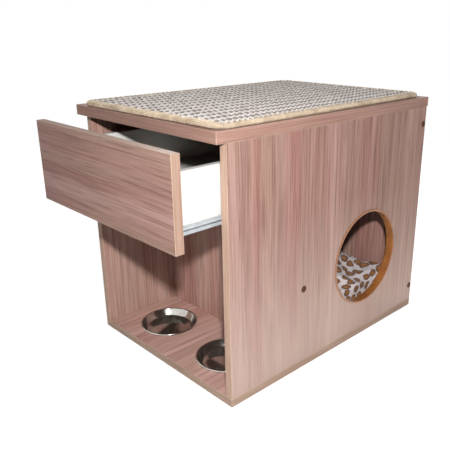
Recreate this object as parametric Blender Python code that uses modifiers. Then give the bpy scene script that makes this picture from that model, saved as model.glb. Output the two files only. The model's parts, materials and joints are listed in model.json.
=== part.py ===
"""Cat house: a wood-print cabinet with a drawer over a feeding bay and a sleeping room behind it.

Metres, +Z up, front towards -Y. The origin is the middle of the cabinet's footprint, on the floor.
The drawer stands open by DRAWER_OPENING, and everything else is as assembled.
"""

import math

import bmesh
import bpy
from mathutils import Matrix, Vector

# Cabinet boards
CABINET_WIDTH = 0.388
CABINET_DEPTH = 0.526
SIDE_HEIGHT = 0.420
SIDE_THICKNESS = 0.015
BOTTOM_THICKNESS = 0.015
TOP_THICKNESS = 0.018
TOP_FRONT_OVERHANG = 0.0185
TOP_BACK_OVERHANG = 0.0035
BACK_THICKNESS = 0.015
DIVIDER_THICKNESS = 0.015
BAY_DEPTH = 0.1625
ARRIS = 0.0006

# Clearances
SEAT_GAP = 0.0003
OVERCUT = 0.004
DIVIDER_RAIL_GAP = 0.0015
SIDEWAYS_GAP = 0.0005

# Entrance in the right side
ENTRANCE_RADIUS = 0.092
ENTRANCE_HEIGHT = 0.150
ENTRANCE_OFF_CENTRE = 0.005
RING_WALL = 0.0014
RING_LIP_WIDTH = 0.0024
RING_LIP_THICKNESS = 0.0014
RING_EASE = 0.0005

# Dishes in the bottom panel
DISH_SIDE_GAP = 0.0335
DISH_RADIUS = 0.057
DISH_RIM_BEAD = 0.002
DISH_WALL_RUN = 0.0075
DISH_CORNER = 0.002
DISH_SHEET = 0.0008
DISH_FLOOR_CLEARANCE = 0.0042
DISH_HOLE_CLEARANCE = 0.0006

# Drawer
DRAWER_OPENING = 0.079
DRAWER_CLOSED_GAP = 0.001
DRAWER_FRONT_HEIGHT = 0.141
DRAWER_FRONT_THICKNESS = 0.015
DRAWER_FRONT_TOP_GAP = 0.0013
BOX_SIDE_THICKNESS = 0.012
BOX_HEIGHT = 0.092
BOX_BOTTOM_THICKNESS = 0.004
BOX_BOTTOM_RISE = 0.016
GROOVE_DEPTH = 0.005

# Slides: a sheet steel member on the cabinet and one under each drawer side
SLIDE_CLEARANCE = 0.0125
SLIDE_SHEET = 0.0012
RAIL_ABOVE_FRONT_EDGE = 0.014
DRAWER_RAIL_HEIGHT = 0.016
RAIL_LIP = 0.003
RAIL_SETBACK = 0.002
RAIL_REAR_CLEARANCE = 0.059
HOOK_HEIGHT = 0.012
ROLLER_RADIUS = 0.0095
ROLLER_INSET = 0.014
ROLLER_PIN_RADIUS = 0.002
ROLLER_FILLET = 0.0006

# Screws that draw the boards together, and their covers
SCREW_LENGTH = 0.050
SCREW_HEAD_RADIUS = 0.005
SCREW_HEAD_DEPTH = 0.004
SCREW_HEAD_RIM = 0.0013
SCREW_SHANK_RADIUS = 0.0035
SCREW_SHANK_LENGTH = 0.0165
SCREW_THREAD_RADIUS = 0.0027
SCREW_TIP = 0.002
SCREW_SOCKET_RADIUS = 0.002
SCREW_SOCKET_DEPTH = 0.0025
SCREW_SINK = 0.0005
DIVIDER_SCREW_HEIGHT = 0.156
BACK_SCREW_HEIGHT = 0.049
BACK_SCREW_DROP = 0.034
CAP_RADIUS = 0.00625
CAP_THICKNESS = 0.0012

# Cams and the bolts that they draw
CAM_RADIUS = 0.0075
CAM_DEPTH = 0.011
CAM_SOCKET_RADIUS = 0.0025
CAM_SOCKET_DEPTH = 0.0018
CAM_DISTANCE = 0.024
BOLT_RADIUS = 0.003
BOLT_NECK_RADIUS = 0.0021
BOLT_THREAD = 0.010
BOLT_HEAD = 0.002
DRAWER_CAM_RADIUS = 0.006
DRAWER_CAM_DEPTH = 0.009
DRAWER_BOLT_RADIUS = 0.0025
DRAWER_BOLT_NECK_RADIUS = 0.0018
FASTENER_INSET = 0.060
HOLE_CLEARANCE = 0.0003

# Screws of the slides
RAIL_SCREW_LENGTH = 0.012
RAIL_SCREW_HEAD_RADIUS = 0.003
RAIL_SCREW_HEAD_DEPTH = 0.0014
RAIL_SCREW_HEAD_RIM = 0.0007
RAIL_SCREW_SHANK_RADIUS = 0.0015
RAIL_SCREW_INSET = 0.043

# Facets round the turned pieces
TURNED_STEPS = 12
ROLLER_STEPS = 20
RING_STEPS = 56
DISH_STEPS = 32

# Mat on the top
MAT_WIDTH = 0.368
MAT_DEPTH = 0.532
MAT_OFFSET = (0.004, -0.0035)
MAT_SKEW = math.radians(1.2)
MAT_THICKNESS = 0.009
MAT_CORNER_RADIUS = 0.024
BINDING_RADIUS = 0.0042
CORNER_STEPS = 7

# Cushion in the sleeping room
CUSHION_GAP = 0.006
CUSHION_EDGE_HEIGHT = 0.058
CUSHION_CROWN_HEIGHT = 0.078
CUSHION_PULL = 0.010
CUSHION_SQUARENESS = 4
CUSHION_CELLS = 8
CUSHION_LAYERS = 3

# Places that follow from the sizes
FRONT_Y = -CABINET_DEPTH / 2
BACK_Y = CABINET_DEPTH / 2
INNER_X = CABINET_WIDTH / 2 - SIDE_THICKNESS
SIDE_TOP = BOTTOM_THICKNESS + SIDE_HEIGHT
TOP_Z = SIDE_TOP + SEAT_GAP + TOP_THICKNESS
DIVIDER_FRONT_Y = FRONT_Y + BAY_DEPTH
ROOM_FRONT_Y = DIVIDER_FRONT_Y + DIVIDER_THICKNESS
ROOM_BACK_Y = BACK_Y - BACK_THICKNESS
ENTRANCE_Y = (ROOM_FRONT_Y + ROOM_BACK_Y) / 2 + ENTRANCE_OFF_CENTRE
ENTRANCE_Z = BOTTOM_THICKNESS + ENTRANCE_HEIGHT
DRAWER_FRONT_TOP = SIDE_TOP + SEAT_GAP - DRAWER_FRONT_TOP_GAP
DRAWER_FRONT_BOTTOM = DRAWER_FRONT_TOP - DRAWER_FRONT_HEIGHT
BOX_OUTER_X = INNER_X - SLIDE_CLEARANCE
BOX_INNER_X = BOX_OUTER_X - BOX_SIDE_THICKNESS
DRAWER_RAIL_Z = DRAWER_FRONT_BOTTOM + RAIL_ABOVE_FRONT_EDGE
LEG_Z = DRAWER_RAIL_Z + SLIDE_SHEET / 2
FLANGE_Z = DRAWER_RAIL_Z + DRAWER_RAIL_HEIGHT - SLIDE_SHEET / 2
BOX_Z = DRAWER_RAIL_Z + SLIDE_SHEET + SEAT_GAP
BOX_TOP = BOX_Z + BOX_HEIGHT
BOX_FLOOR_Z = BOX_Z + BOX_BOTTOM_RISE
RAIL_LENGTH = CABINET_DEPTH - BACK_THICKNESS - RAIL_REAR_CLEARANCE - RAIL_SETBACK
ROLLER_Z = FLANGE_Z - SLIDE_SHEET / 2 - SEAT_GAP - ROLLER_RADIUS
CABINET_RAIL_LOW_Z = ROLLER_Z - ROLLER_RADIUS - SEAT_GAP - SLIDE_SHEET / 2
CABINET_RAIL_HIGH_Z = FLANGE_Z + SLIDE_SHEET + SEAT_GAP
DIVIDER_TOP = CABINET_RAIL_LOW_Z - SLIDE_SHEET / 2 - DIVIDER_RAIL_GAP
# Outward from the drawer side's outer face
WEB_OUT = SEAT_GAP + SLIDE_SHEET / 2
CABINET_WEB_OUT = SLIDE_CLEARANCE - SEAT_GAP - SLIDE_SHEET / 2
LIP_OUT = CABINET_WEB_OUT - SLIDE_SHEET - SIDEWAYS_GAP
ROLLER_LOW_OUT = WEB_OUT + SLIDE_SHEET / 2 + SIDEWAYS_GAP
ROLLER_HIGH_OUT = LIP_OUT - SLIDE_SHEET / 2 - SIDEWAYS_GAP
SIDES = (("left", -1), ("right", 1))


def start_scene():
    """Empties the scene and returns the collections for the pieces and for the cutters."""
    for old in list(bpy.data.objects):
        bpy.data.objects.remove(old, do_unlink=True)
    found = []
    for name in ("cat_house", "cutters"):
        collection = bpy.data.collections.new(name)
        bpy.context.scene.collection.children.link(collection)
        found.append(collection)
    return found


PIECES, CUTTERS = start_scene()


def finish(name, colour, roughness, metallic=0.0):
    """A Principled material."""
    material = bpy.data.materials.new(name)
    material.use_nodes = True
    shader = material.node_tree.nodes["Principled BSDF"]
    shader.inputs["Base Color"].default_value = (*colour, 1.0)
    shader.inputs["Roughness"].default_value = roughness
    shader.inputs["Metallic"].default_value = metallic
    material.diffuse_color = (*colour, 1.0)
    return material


WOOD_PRINT = finish("wood_print", (0.42, 0.25, 0.20), 0.45)
WHITE_BOARD = finish("white_board", (0.85, 0.85, 0.84), 0.35)
RING_PLASTIC = finish("ring_plastic", (0.45, 0.18, 0.04), 0.30)
CAP_PLASTIC = finish("cap_plastic", (0.11, 0.06, 0.05), 0.50)
ZINC = finish("zinc", (0.62, 0.62, 0.60), 0.35, 1.0)
WHITE_STEEL = finish("white_steel", (0.82, 0.84, 0.86), 0.30, 0.0)
NYLON = finish("nylon", (0.80, 0.80, 0.76), 0.45)
STAINLESS = finish("stainless", (0.66, 0.65, 0.63), 0.15, 1.0)
MAT_WEAVE = finish("mat_weave", (0.48, 0.43, 0.44), 0.95)
BINDING_YARN = finish("binding_yarn", (0.72, 0.60, 0.40), 0.95)
PLUSH = finish("plush", (0.80, 0.76, 0.72), 0.98)


def link(name, data, material, parent=None, location=(0, 0, 0)):
    """Puts a new piece in the model."""
    piece = bpy.data.objects.new(name, data)
    if material:
        data.materials.append(material)
    PIECES.objects.link(piece)
    piece.parent = parent
    piece.location = location
    return piece


def make_cutter(piece):
    """Moves an object from the pieces to the cutters."""
    PIECES.objects.unlink(piece)
    CUTTERS.objects.link(piece)
    piece.hide_render = True
    piece.display_type = "WIRE"
    return piece


def cut(piece, cutter, operation="DIFFERENCE"):
    """Cuts a piece with a cutter, or joins the cutter's shape to it."""
    change = piece.modifiers.new(cutter.name, "BOOLEAN")
    change.operation = operation
    change.solver = "EXACT"
    change.object = cutter


def empty_at(name, location, turn=0.0):
    """A parent for pieces that move or turn together."""
    handle = bpy.data.objects.new(name, None)
    PIECES.objects.link(handle)
    handle.location = location
    handle.rotation_euler = (0, 0, turn)
    return handle


def box_mesh(name, size):
    """A cuboid mesh about its own middle."""
    mesh = bpy.data.meshes.new(name)
    shape = bmesh.new()
    bmesh.ops.create_cube(shape, size=1, matrix=Matrix.Diagonal((*size, 1)))
    shape.to_mesh(mesh)
    shape.free()
    return mesh


def upright_edges(shape):
    """The edges of a bmesh that run straight up and down."""
    found = []
    for edge in shape.edges:
        ends = [vert.co for vert in edge.verts]
        if (ends[0].xy - ends[1].xy).length < abs(ends[0].z - ends[1].z) / 10:
            found.append(edge)
    return found


def block(name, low, high, material, parent=None):
    """A square-edged block between two corners given in the model's frame."""
    low, high = Vector(low), Vector(high)
    middle = (low + high) / 2
    if parent:
        middle -= parent.location
    return link(name, box_mesh(name, high - low), material, parent, middle)


def board(name, low, high, material, parent=None):
    """A board with eased edges."""
    piece = block(name, low, high, material, parent)
    bevel = piece.modifiers.new("Arris", "BEVEL")
    bevel.width = ARRIS
    bevel.segments = 2
    return piece


def arc(centre, radii, start, end, steps):
    """Points round part of an ellipse, from one angle in degrees to another."""
    points = []
    for step in range(steps + 1):
        angle = math.radians(start + (end - start) * step / steps)
        points.append((centre[0] + radii[0] * math.cos(angle), centre[1] + radii[1] * math.sin(angle)))
    return points


def turned(name, outline, material, origin, axis, parent=None, steps=TURNED_STEPS, closed=False):
    """Turns an outline of (radius, height) about an axis. It runs down its outer side."""
    count = len(outline)
    edges = [(i, (i + 1) % count) for i in range(count if closed else count - 1)]
    mesh = bpy.data.meshes.new(name)
    mesh.from_pydata([(radius, 0, height) for radius, height in outline], edges, [])
    origin = Vector(origin)
    if parent:
        origin -= parent.location
    piece = link(name, mesh, material, parent, origin)
    piece.rotation_euler = Vector(axis).to_track_quat("Z", "Y").to_euler()
    turn = piece.modifiers.new("Turn", "SCREW")
    turn.axis = "Z"
    turn.steps = turn.render_steps = steps
    turn.use_merge_vertices = True
    turn.merge_threshold = 0.00001
    turn.use_smooth_shade = True
    return piece


def round_cutter(name, origin, axis, radius, depth, parent=None, steps=TURNED_STEPS):
    """A straight round cutter that goes into a face along the axis turned round."""
    outline = [(0, OVERCUT), (radius, OVERCUT), (radius, -depth), (0, -depth)]
    return make_cutter(turned(name + "_cutter", outline, None, origin, axis, parent, steps))


def cabinet_screw(name, face, axis, boards):
    """A flat-headed screw that draws boards together, and its holes. The axis points out."""
    head = Vector(face) - Vector(axis) * SCREW_SINK
    shoulder = SCREW_SHANK_RADIUS - SCREW_THREAD_RADIUS
    outline = [
        (0, -SCREW_SOCKET_DEPTH),
        (SCREW_SOCKET_RADIUS, -SCREW_SOCKET_DEPTH),
        (SCREW_SOCKET_RADIUS, 0),
        (SCREW_HEAD_RADIUS, 0),
        (SCREW_HEAD_RADIUS, -SCREW_HEAD_RIM),
        (SCREW_SHANK_RADIUS, -SCREW_HEAD_DEPTH),
        (SCREW_SHANK_RADIUS, -SCREW_SHANK_LENGTH),
        (SCREW_THREAD_RADIUS, -SCREW_SHANK_LENGTH - shoulder),
        (SCREW_THREAD_RADIUS, -SCREW_LENGTH + SCREW_TIP),
        (0, -SCREW_LENGTH),
    ]
    turned(name, outline, ZINC, head, axis)
    hole = [
        (0, OVERCUT),
        (SCREW_HEAD_RADIUS + HOLE_CLEARANCE, OVERCUT),
        (SCREW_HEAD_RADIUS + HOLE_CLEARANCE, -SCREW_HEAD_RIM - HOLE_CLEARANCE),
        (SCREW_SHANK_RADIUS + HOLE_CLEARANCE, -SCREW_HEAD_DEPTH - HOLE_CLEARANCE),
        (SCREW_SHANK_RADIUS + HOLE_CLEARANCE, -SCREW_LENGTH - HOLE_CLEARANCE),
        (0, -SCREW_LENGTH - HOLE_CLEARANCE),
    ]
    cutter = make_cutter(turned(name + "_cutter", hole, None, head, axis))
    for piece in boards:
        cut(piece, cutter)


def cover_cap(name, face, axis):
    """A domed cover that plugs into the socket of a cabinet screw."""
    stub = SCREW_SOCKET_RADIUS - HOLE_CLEARANCE
    tip = SCREW_SINK + SCREW_SOCKET_DEPTH - SEAT_GAP
    dome = arc((0, SEAT_GAP), (CAP_RADIUS, CAP_THICKNESS), 90, 0, 3)
    outline = dome + [(stub, SEAT_GAP), (stub, -tip), (0, -tip)]
    turned(name, outline, CAP_PLASTIC, face, axis)


def rail_screw(name, face, axis, pieces, parent=None):
    """A pan-headed screw whose head stands on a sheet face. The axis points out."""
    head = RAIL_SCREW_HEAD_DEPTH + SEAT_GAP
    outline = [
        (0, head),
        (RAIL_SCREW_HEAD_RADIUS - RAIL_SCREW_HEAD_RIM, head),
        (RAIL_SCREW_HEAD_RADIUS, head - RAIL_SCREW_HEAD_RIM),
        (RAIL_SCREW_HEAD_RADIUS, SEAT_GAP),
        (RAIL_SCREW_SHANK_RADIUS, SEAT_GAP),
        (RAIL_SCREW_SHANK_RADIUS, -RAIL_SCREW_LENGTH + RAIL_SCREW_SHANK_RADIUS),
        (0, -RAIL_SCREW_LENGTH),
    ]
    turned(name, outline, ZINC, face, axis, parent)
    radius = RAIL_SCREW_SHANK_RADIUS + HOLE_CLEARANCE
    cutter = round_cutter(name, face, axis, radius, RAIL_SCREW_LENGTH + HOLE_CLEARANCE, parent)
    for piece in pieces:
        cut(piece, cutter)


def cam(place, face, axis, radius, depth, holder, parent=None):
    """A cam in its pocket in a board. The axis points out of the pocket."""
    outline = [
        (0, -CAM_SOCKET_DEPTH),
        (CAM_SOCKET_RADIUS, -CAM_SOCKET_DEPTH),
        (CAM_SOCKET_RADIUS, 0),
        (radius, 0),
        (radius, -depth),
        (0, -depth),
    ]
    turned("cam_" + place, outline, ZINC, face, axis, parent)
    pocket_radius = radius + HOLE_CLEARANCE
    pocket_depth = depth + HOLE_CLEARANCE
    cut(holder, round_cutter("cam_" + place, face, axis, pocket_radius, pocket_depth, parent))


def cam_bolt(place, face, axis, radius, neck_radius, cam_radius, holder, bolted, parent=None):
    """A bolt screwed into one board's face, with its neck and head reaching a cam in another.

    The axis points from the cam into the bolted board.
    """
    reach = CAM_DISTANCE - cam_radius - HOLE_CLEARANCE
    taper = radius - neck_radius
    outline = [
        (0, BOLT_THREAD),
        (neck_radius, BOLT_THREAD),
        (radius, BOLT_THREAD - taper),
        (radius, -taper),
        (neck_radius, -2 * taper),
        (neck_radius, -reach + BOLT_HEAD),
        (radius, -reach + BOLT_HEAD - taper),
        (radius, -reach + taper / 2),
        (neck_radius, -reach),
        (0, -reach),
    ]
    turned("bolt_" + place, outline, ZINC, face, axis, parent)
    bore = radius + HOLE_CLEARANCE
    into_pocket = -CAM_DISTANCE + cam_radius / 2
    outline = [
        (0, BOLT_THREAD + HOLE_CLEARANCE),
        (bore, BOLT_THREAD + HOLE_CLEARANCE),
        (bore, into_pocket),
        (0, into_pocket),
    ]
    cutter = make_cutter(turned("bolt_" + place + "_cutter", outline, None, face, axis, parent))
    cut(bolted, cutter)
    cut(holder, cutter)


def bent_sheet(name, section, start_y, length, material, parent=None):
    """A sheet bent to a section of (x, z) points and run back along Y."""
    base = Vector((0, start_y, 0))
    if parent:
        base -= parent.location
    mesh = bpy.data.meshes.new(name)
    shape = bmesh.new()
    corners = [shape.verts.new((x, 0, z)) for x, z in section]
    edges = [shape.edges.new(pair) for pair in zip(corners, corners[1:])]
    run = bmesh.ops.extrude_edge_only(shape, edges=edges)["geom"]
    moved = [part for part in run if isinstance(part, bmesh.types.BMVert)]
    bmesh.ops.translate(shape, verts=moved, vec=(0, length, 0))
    bmesh.ops.recalc_face_normals(shape, faces=shape.faces)
    shape.to_mesh(mesh)
    shape.free()
    piece = link(name, mesh, material, parent, base)
    wall = piece.modifiers.new("Sheet", "SOLIDIFY")
    wall.thickness = SLIDE_SHEET
    wall.offset = 0
    wall.use_even_offset = True
    return piece


def make_carcass():
    """The six boards of the cabinet."""
    half = CABINET_WIDTH / 2
    bottom = board("bottom_panel", (-half, FRONT_Y, 0), (half, BACK_Y, BOTTOM_THICKNESS), WOOD_PRINT)
    sides = {}
    for side, sign in SIDES:
        inner, outer = sorted((sign * INNER_X, sign * half))
        sides[side] = board(
            "side_panel_" + side,
            (inner, FRONT_Y, BOTTOM_THICKNESS + SEAT_GAP),
            (outer, BACK_Y, SIDE_TOP),
            WOOD_PRINT,
        )
    top = board(
        "top_panel",
        (-half, FRONT_Y - TOP_FRONT_OVERHANG, SIDE_TOP + SEAT_GAP),
        (half, BACK_Y + TOP_BACK_OVERHANG, TOP_Z),
        WOOD_PRINT,
    )
    reach = INNER_X - SEAT_GAP
    divider = board(
        "divider_panel",
        (-reach, DIVIDER_FRONT_Y, BOTTOM_THICKNESS + SEAT_GAP),
        (reach, ROOM_FRONT_Y, DIVIDER_TOP),
        WOOD_PRINT,
    )
    back = board(
        "back_panel",
        (-reach, ROOM_BACK_Y, BOTTOM_THICKNESS + SEAT_GAP),
        (reach, BACK_Y, SIDE_TOP),
        WOOD_PRINT,
    )
    return bottom, sides, top, divider, back


def make_entrance(side_panel):
    """The round entrance and the ring that lines it."""
    face = (CABINET_WIDTH / 2, ENTRANCE_Y, ENTRANCE_Z)
    depth = SIDE_THICKNESS + OVERCUT
    cut(side_panel, round_cutter("entrance", face, (1, 0, 0), ENTRANCE_RADIUS, depth, None, RING_STEPS))
    outer = ENTRANCE_RADIUS - SEAT_GAP
    inner = outer - RING_WALL
    lip = ENTRANCE_RADIUS + RING_LIP_WIDTH
    top = SEAT_GAP + RING_LIP_THICKNESS
    outline = [
        (lip - RING_EASE, top),
        (lip, top - RING_EASE),
        (lip, SEAT_GAP),
        (outer, SEAT_GAP),
        (outer, -SIDE_THICKNESS),
        (inner, -SIDE_THICKNESS),
        (inner, top - RING_EASE),
        (inner + RING_EASE, top),
    ]
    turned("entrance_ring", outline, RING_PLASTIC, face, (1, 0, 0), None, RING_STEPS, closed=True)


def make_dishes(bottom):
    """Two shallow dishes that drop into holes in the bottom panel and hang by their rims."""
    wall_radius = DISH_RADIUS - 2 * DISH_RIM_BEAD
    floor_radius = wall_radius - DISH_WALL_RUN
    floor_z = DISH_FLOOR_CLEARANCE - BOTTOM_THICKNESS
    inside_z = floor_z + DISH_SHEET
    corner = (floor_radius - DISH_CORNER, inside_z + DISH_CORNER)
    under_corner = (floor_radius - DISH_CORNER, floor_z + DISH_CORNER)
    bead = (DISH_RADIUS - DISH_RIM_BEAD, SEAT_GAP + DISH_RIM_BEAD)
    outline = [
        (0, inside_z),
        *arc(corner, (DISH_CORNER, DISH_CORNER), -90, -30, 2),
        (wall_radius - DISH_SHEET, 0),
        *arc(bead, (DISH_RIM_BEAD, DISH_RIM_BEAD), 180, -135, 7),
        (wall_radius, -DISH_SHEET),
        *arc(under_corner, (DISH_CORNER, DISH_CORNER), -30, -90, 2),
        (0, floor_z),
    ]
    dish_x = INNER_X - DISH_SIDE_GAP - DISH_RADIUS
    for side, sign in SIDES:
        place = (sign * dish_x, FRONT_Y + BAY_DEPTH / 2, BOTTOM_THICKNESS)
        lift = empty_at("dish_lift_" + side, place)
        turned("dish_" + side, outline, STAINLESS, place, (0, 0, 1), lift, DISH_STEPS)
        hole = wall_radius + DISH_HOLE_CLEARANCE
        cutter = round_cutter("dish_hole_" + side, place, (0, 0, 1), hole,
                              BOTTOM_THICKNESS + OVERCUT, None, DISH_STEPS)
        cut(bottom, cutter)


def make_cabinet_fasteners(bottom, sides, top, divider, back):
    """Screws with covers through the sides, screws up from below and cams under the top."""
    for side, sign in SIDES:
        panel = sides[side]
        face_x = sign * CABINET_WIDTH / 2
        out = (sign, 0, 0)
        screws = (
            ("divider_" + side, (ROOM_FRONT_Y + DIVIDER_FRONT_Y) / 2, DIVIDER_SCREW_HEIGHT, divider),
            ("back_" + side + "_lower", BACK_Y - BACK_THICKNESS / 2, BACK_SCREW_HEIGHT, back),
            ("back_" + side + "_upper", BACK_Y - BACK_THICKNESS / 2, SIDE_TOP - BACK_SCREW_DROP, back),
        )
        for place, y, z, inner_board in screws:
            cabinet_screw("screw_" + place, (face_x, y, z), out, (panel, inner_board))
            cover_cap("cap_" + place, (face_x, y, z), out)
        middle_x = face_x - sign * SIDE_THICKNESS / 2
        for end, y in (("front", FRONT_Y + FASTENER_INSET), ("rear", BACK_Y - FASTENER_INSET)):
            place = side + "_" + end
            cabinet_screw("screw_bottom_" + place, (middle_x, y, 0), (0, 0, -1), (bottom, panel))
            face = (middle_x, y, SIDE_TOP + SEAT_GAP)
            pocket = (sign * INNER_X, y, SIDE_TOP + SEAT_GAP - CAM_DISTANCE)
            cam("top_" + place, pocket, (-sign, 0, 0), CAM_RADIUS, CAM_DEPTH, panel)
            cam_bolt("top_" + place, face, (0, 0, 1), BOLT_RADIUS, BOLT_NECK_RADIUS, CAM_RADIUS,
                     panel, top)


def make_cabinet_rails(sides):
    """The slide members screwed to the cabinet sides, each with its front roller."""
    start = FRONT_Y + RAIL_SETBACK
    roller_y = start + ROLLER_INSET
    for side, sign in SIDES:
        web_x = sign * (BOX_OUTER_X + CABINET_WEB_OUT)
        high_x = sign * (BOX_OUTER_X + ROLLER_LOW_OUT + SLIDE_SHEET)
        low_x = sign * (BOX_OUTER_X + ROLLER_LOW_OUT)
        section = [
            (high_x, CABINET_RAIL_HIGH_Z),
            (web_x, CABINET_RAIL_HIGH_Z),
            (web_x, CABINET_RAIL_LOW_Z),
            (low_x, CABINET_RAIL_LOW_Z),
        ]
        rail = bent_sheet("cabinet_rail_" + side, section, start, RAIL_LENGTH, WHITE_STEEL)
        pin_end = sign * (BOX_OUTER_X + ROLLER_LOW_OUT + SIDEWAYS_GAP)
        roller_on_pin("cabinet_roller_" + side, rail, pin_end, web_x, sign, roller_y)
        face_x = web_x - sign * SLIDE_SHEET / 2
        for end, y in (("front", start + RAIL_SCREW_INSET),
                       ("rear", start + RAIL_LENGTH - RAIL_SCREW_INSET)):
            name = "screw_cabinet_rail_" + side + "_" + end
            rail_screw(name, (face_x, y, ROLLER_Z), (-sign, 0, 0), (rail, sides[side]))


def roller_on_pin(name, rail, pin_end, pin_root, sign, y, parent=None):
    """A roller and the pin that it turns on, riveted into the rail."""
    middle = Vector(((pin_end + pin_root) / 2, y, ROLLER_Z))
    if parent:
        middle -= parent.location
    mesh = bpy.data.meshes.new(name + "_pin")
    shape = bmesh.new()
    turn = Matrix.Rotation(math.radians(90), 4, "Y")
    bmesh.ops.create_cone(shape, cap_ends=True, segments=TURNED_STEPS, radius1=ROLLER_PIN_RADIUS,
                          radius2=ROLLER_PIN_RADIUS, depth=abs(pin_end - pin_root), matrix=turn)
    shape.to_mesh(mesh)
    shape.free()
    pin = make_cutter(link(name + "_pin", mesh, None, parent, middle))
    cut(rail, pin, "UNION")
    width = ROLLER_HIGH_OUT - ROLLER_LOW_OUT
    bore = ROLLER_PIN_RADIUS + HOLE_CLEARANCE
    outline = [
        (ROLLER_RADIUS - ROLLER_FILLET, width),
        (ROLLER_RADIUS, width - ROLLER_FILLET),
        (ROLLER_RADIUS, ROLLER_FILLET),
        (ROLLER_RADIUS - ROLLER_FILLET, 0),
        (bore, 0),
        (bore, width),
    ]
    place = (sign * (BOX_OUTER_X + ROLLER_LOW_OUT), y, ROLLER_Z)
    if parent:
        place = Vector(place) - parent.location
    axle = empty_at(name + "_axle", place)
    axle.parent = parent
    roller = turned(name, outline, NYLON, (0, 0, 0), (sign, 0, 0), None, ROLLER_STEPS, closed=True)
    roller.parent = axle


def make_drawer():
    """The drawer with its front, box, fasteners and slide members, open on its slide."""
    back_face = FRONT_Y - DRAWER_CLOSED_GAP - DRAWER_OPENING
    travel = empty_at("drawer_travel", (0, back_face, DRAWER_FRONT_BOTTOM))
    half = CABINET_WIDTH / 2
    front = board(
        "drawer_front",
        (-half, back_face - DRAWER_FRONT_THICKNESS, DRAWER_FRONT_BOTTOM),
        (half, back_face, DRAWER_FRONT_TOP),
        WOOD_PRINT,
        travel,
    )
    box_y = back_face + SEAT_GAP
    box_end = back_face + RAIL_LENGTH
    sides = {}
    for side, sign in SIDES:
        inner, outer = sorted((sign * BOX_INNER_X, sign * BOX_OUTER_X))
        sides[side] = board("drawer_side_" + side, (inner, box_y, BOX_Z), (outer, box_end, BOX_TOP),
                            WHITE_BOARD, travel)
    floor_top = BOX_FLOOR_Z + BOX_BOTTOM_THICKNESS
    board(
        "drawer_back",
        (-BOX_INNER_X + SEAT_GAP, box_end - BOX_SIDE_THICKNESS, floor_top + SEAT_GAP),
        (BOX_INNER_X - SEAT_GAP, box_end, BOX_TOP),
        WHITE_BOARD,
        travel,
    )
    groove_x = BOX_INNER_X + GROOVE_DEPTH
    groove_y = back_face - GROOVE_DEPTH
    gap = Vector((SEAT_GAP, SEAT_GAP, SEAT_GAP))
    low = Vector((-groove_x, groove_y, BOX_FLOOR_Z))
    high = Vector((groove_x, box_end, floor_top))
    block("drawer_bottom", low, high, WHITE_BOARD, travel)
    past_end = Vector((0, OVERCUT, 0))
    groove = make_cutter(block("groove_cutter", low - gap, high + gap + past_end, None, travel))
    for piece in (front, sides["left"], sides["right"]):
        cut(piece, groove)
    for side, sign in SIDES:
        middle_x = sign * (BOX_INNER_X + BOX_OUTER_X) / 2
        cam_z = (floor_top + BOX_TOP) / 2
        face = (middle_x, back_face, cam_z)
        pocket = (sign * BOX_INNER_X, back_face + CAM_DISTANCE, cam_z)
        cam("drawer_" + side, pocket, (-sign, 0, 0), DRAWER_CAM_RADIUS, DRAWER_CAM_DEPTH,
            sides[side], travel)
        cam_bolt("drawer_" + side, face, (0, -1, 0), DRAWER_BOLT_RADIUS, DRAWER_BOLT_NECK_RADIUS,
                 DRAWER_CAM_RADIUS, sides[side], front, travel)
        make_drawer_rail(side, sign, sides[side], back_face, box_end, travel)


def make_drawer_rail(side, sign, box_side, back_face, box_end, travel):
    """The slide member under a drawer side, with a rear hook, a rear roller and its screw."""
    start = back_face + RAIL_SETBACK
    end = box_end + SEAT_GAP + SLIDE_SHEET
    leg_x = sign * (BOX_INNER_X + SIDEWAYS_GAP)
    web_x = sign * (BOX_OUTER_X + WEB_OUT)
    lip_x = sign * (BOX_OUTER_X + LIP_OUT)
    section = [
        (leg_x, LEG_Z),
        (web_x, LEG_Z),
        (web_x, FLANGE_Z),
        (lip_x, FLANGE_Z),
        (lip_x, FLANGE_Z - RAIL_LIP),
    ]
    rail = bent_sheet("drawer_rail_" + side, section, start, end - start, WHITE_STEEL, travel)
    inner, outer = sorted((leg_x + sign * SIDEWAYS_GAP, sign * BOX_OUTER_X - sign * SIDEWAYS_GAP))
    into_leg = SLIDE_SHEET / 4
    hook = block("hook_" + side, (inner, end - SLIDE_SHEET, LEG_Z - into_leg),
                 (outer, end, LEG_Z + HOOK_HEIGHT), None, travel)
    cut(rail, make_cutter(hook), "UNION")
    pin_root = web_x
    pin_end = sign * (BOX_OUTER_X + ROLLER_HIGH_OUT - SIDEWAYS_GAP)
    roller_on_pin("drawer_roller_" + side, rail, pin_end, pin_root, sign, box_end - ROLLER_INSET, travel)
    face = ((leg_x + web_x) / 2, start + RAIL_SCREW_INSET, DRAWER_RAIL_Z)
    rail_screw("screw_drawer_rail_" + side, face, (0, 0, -1), (rail, box_side), travel)


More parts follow.
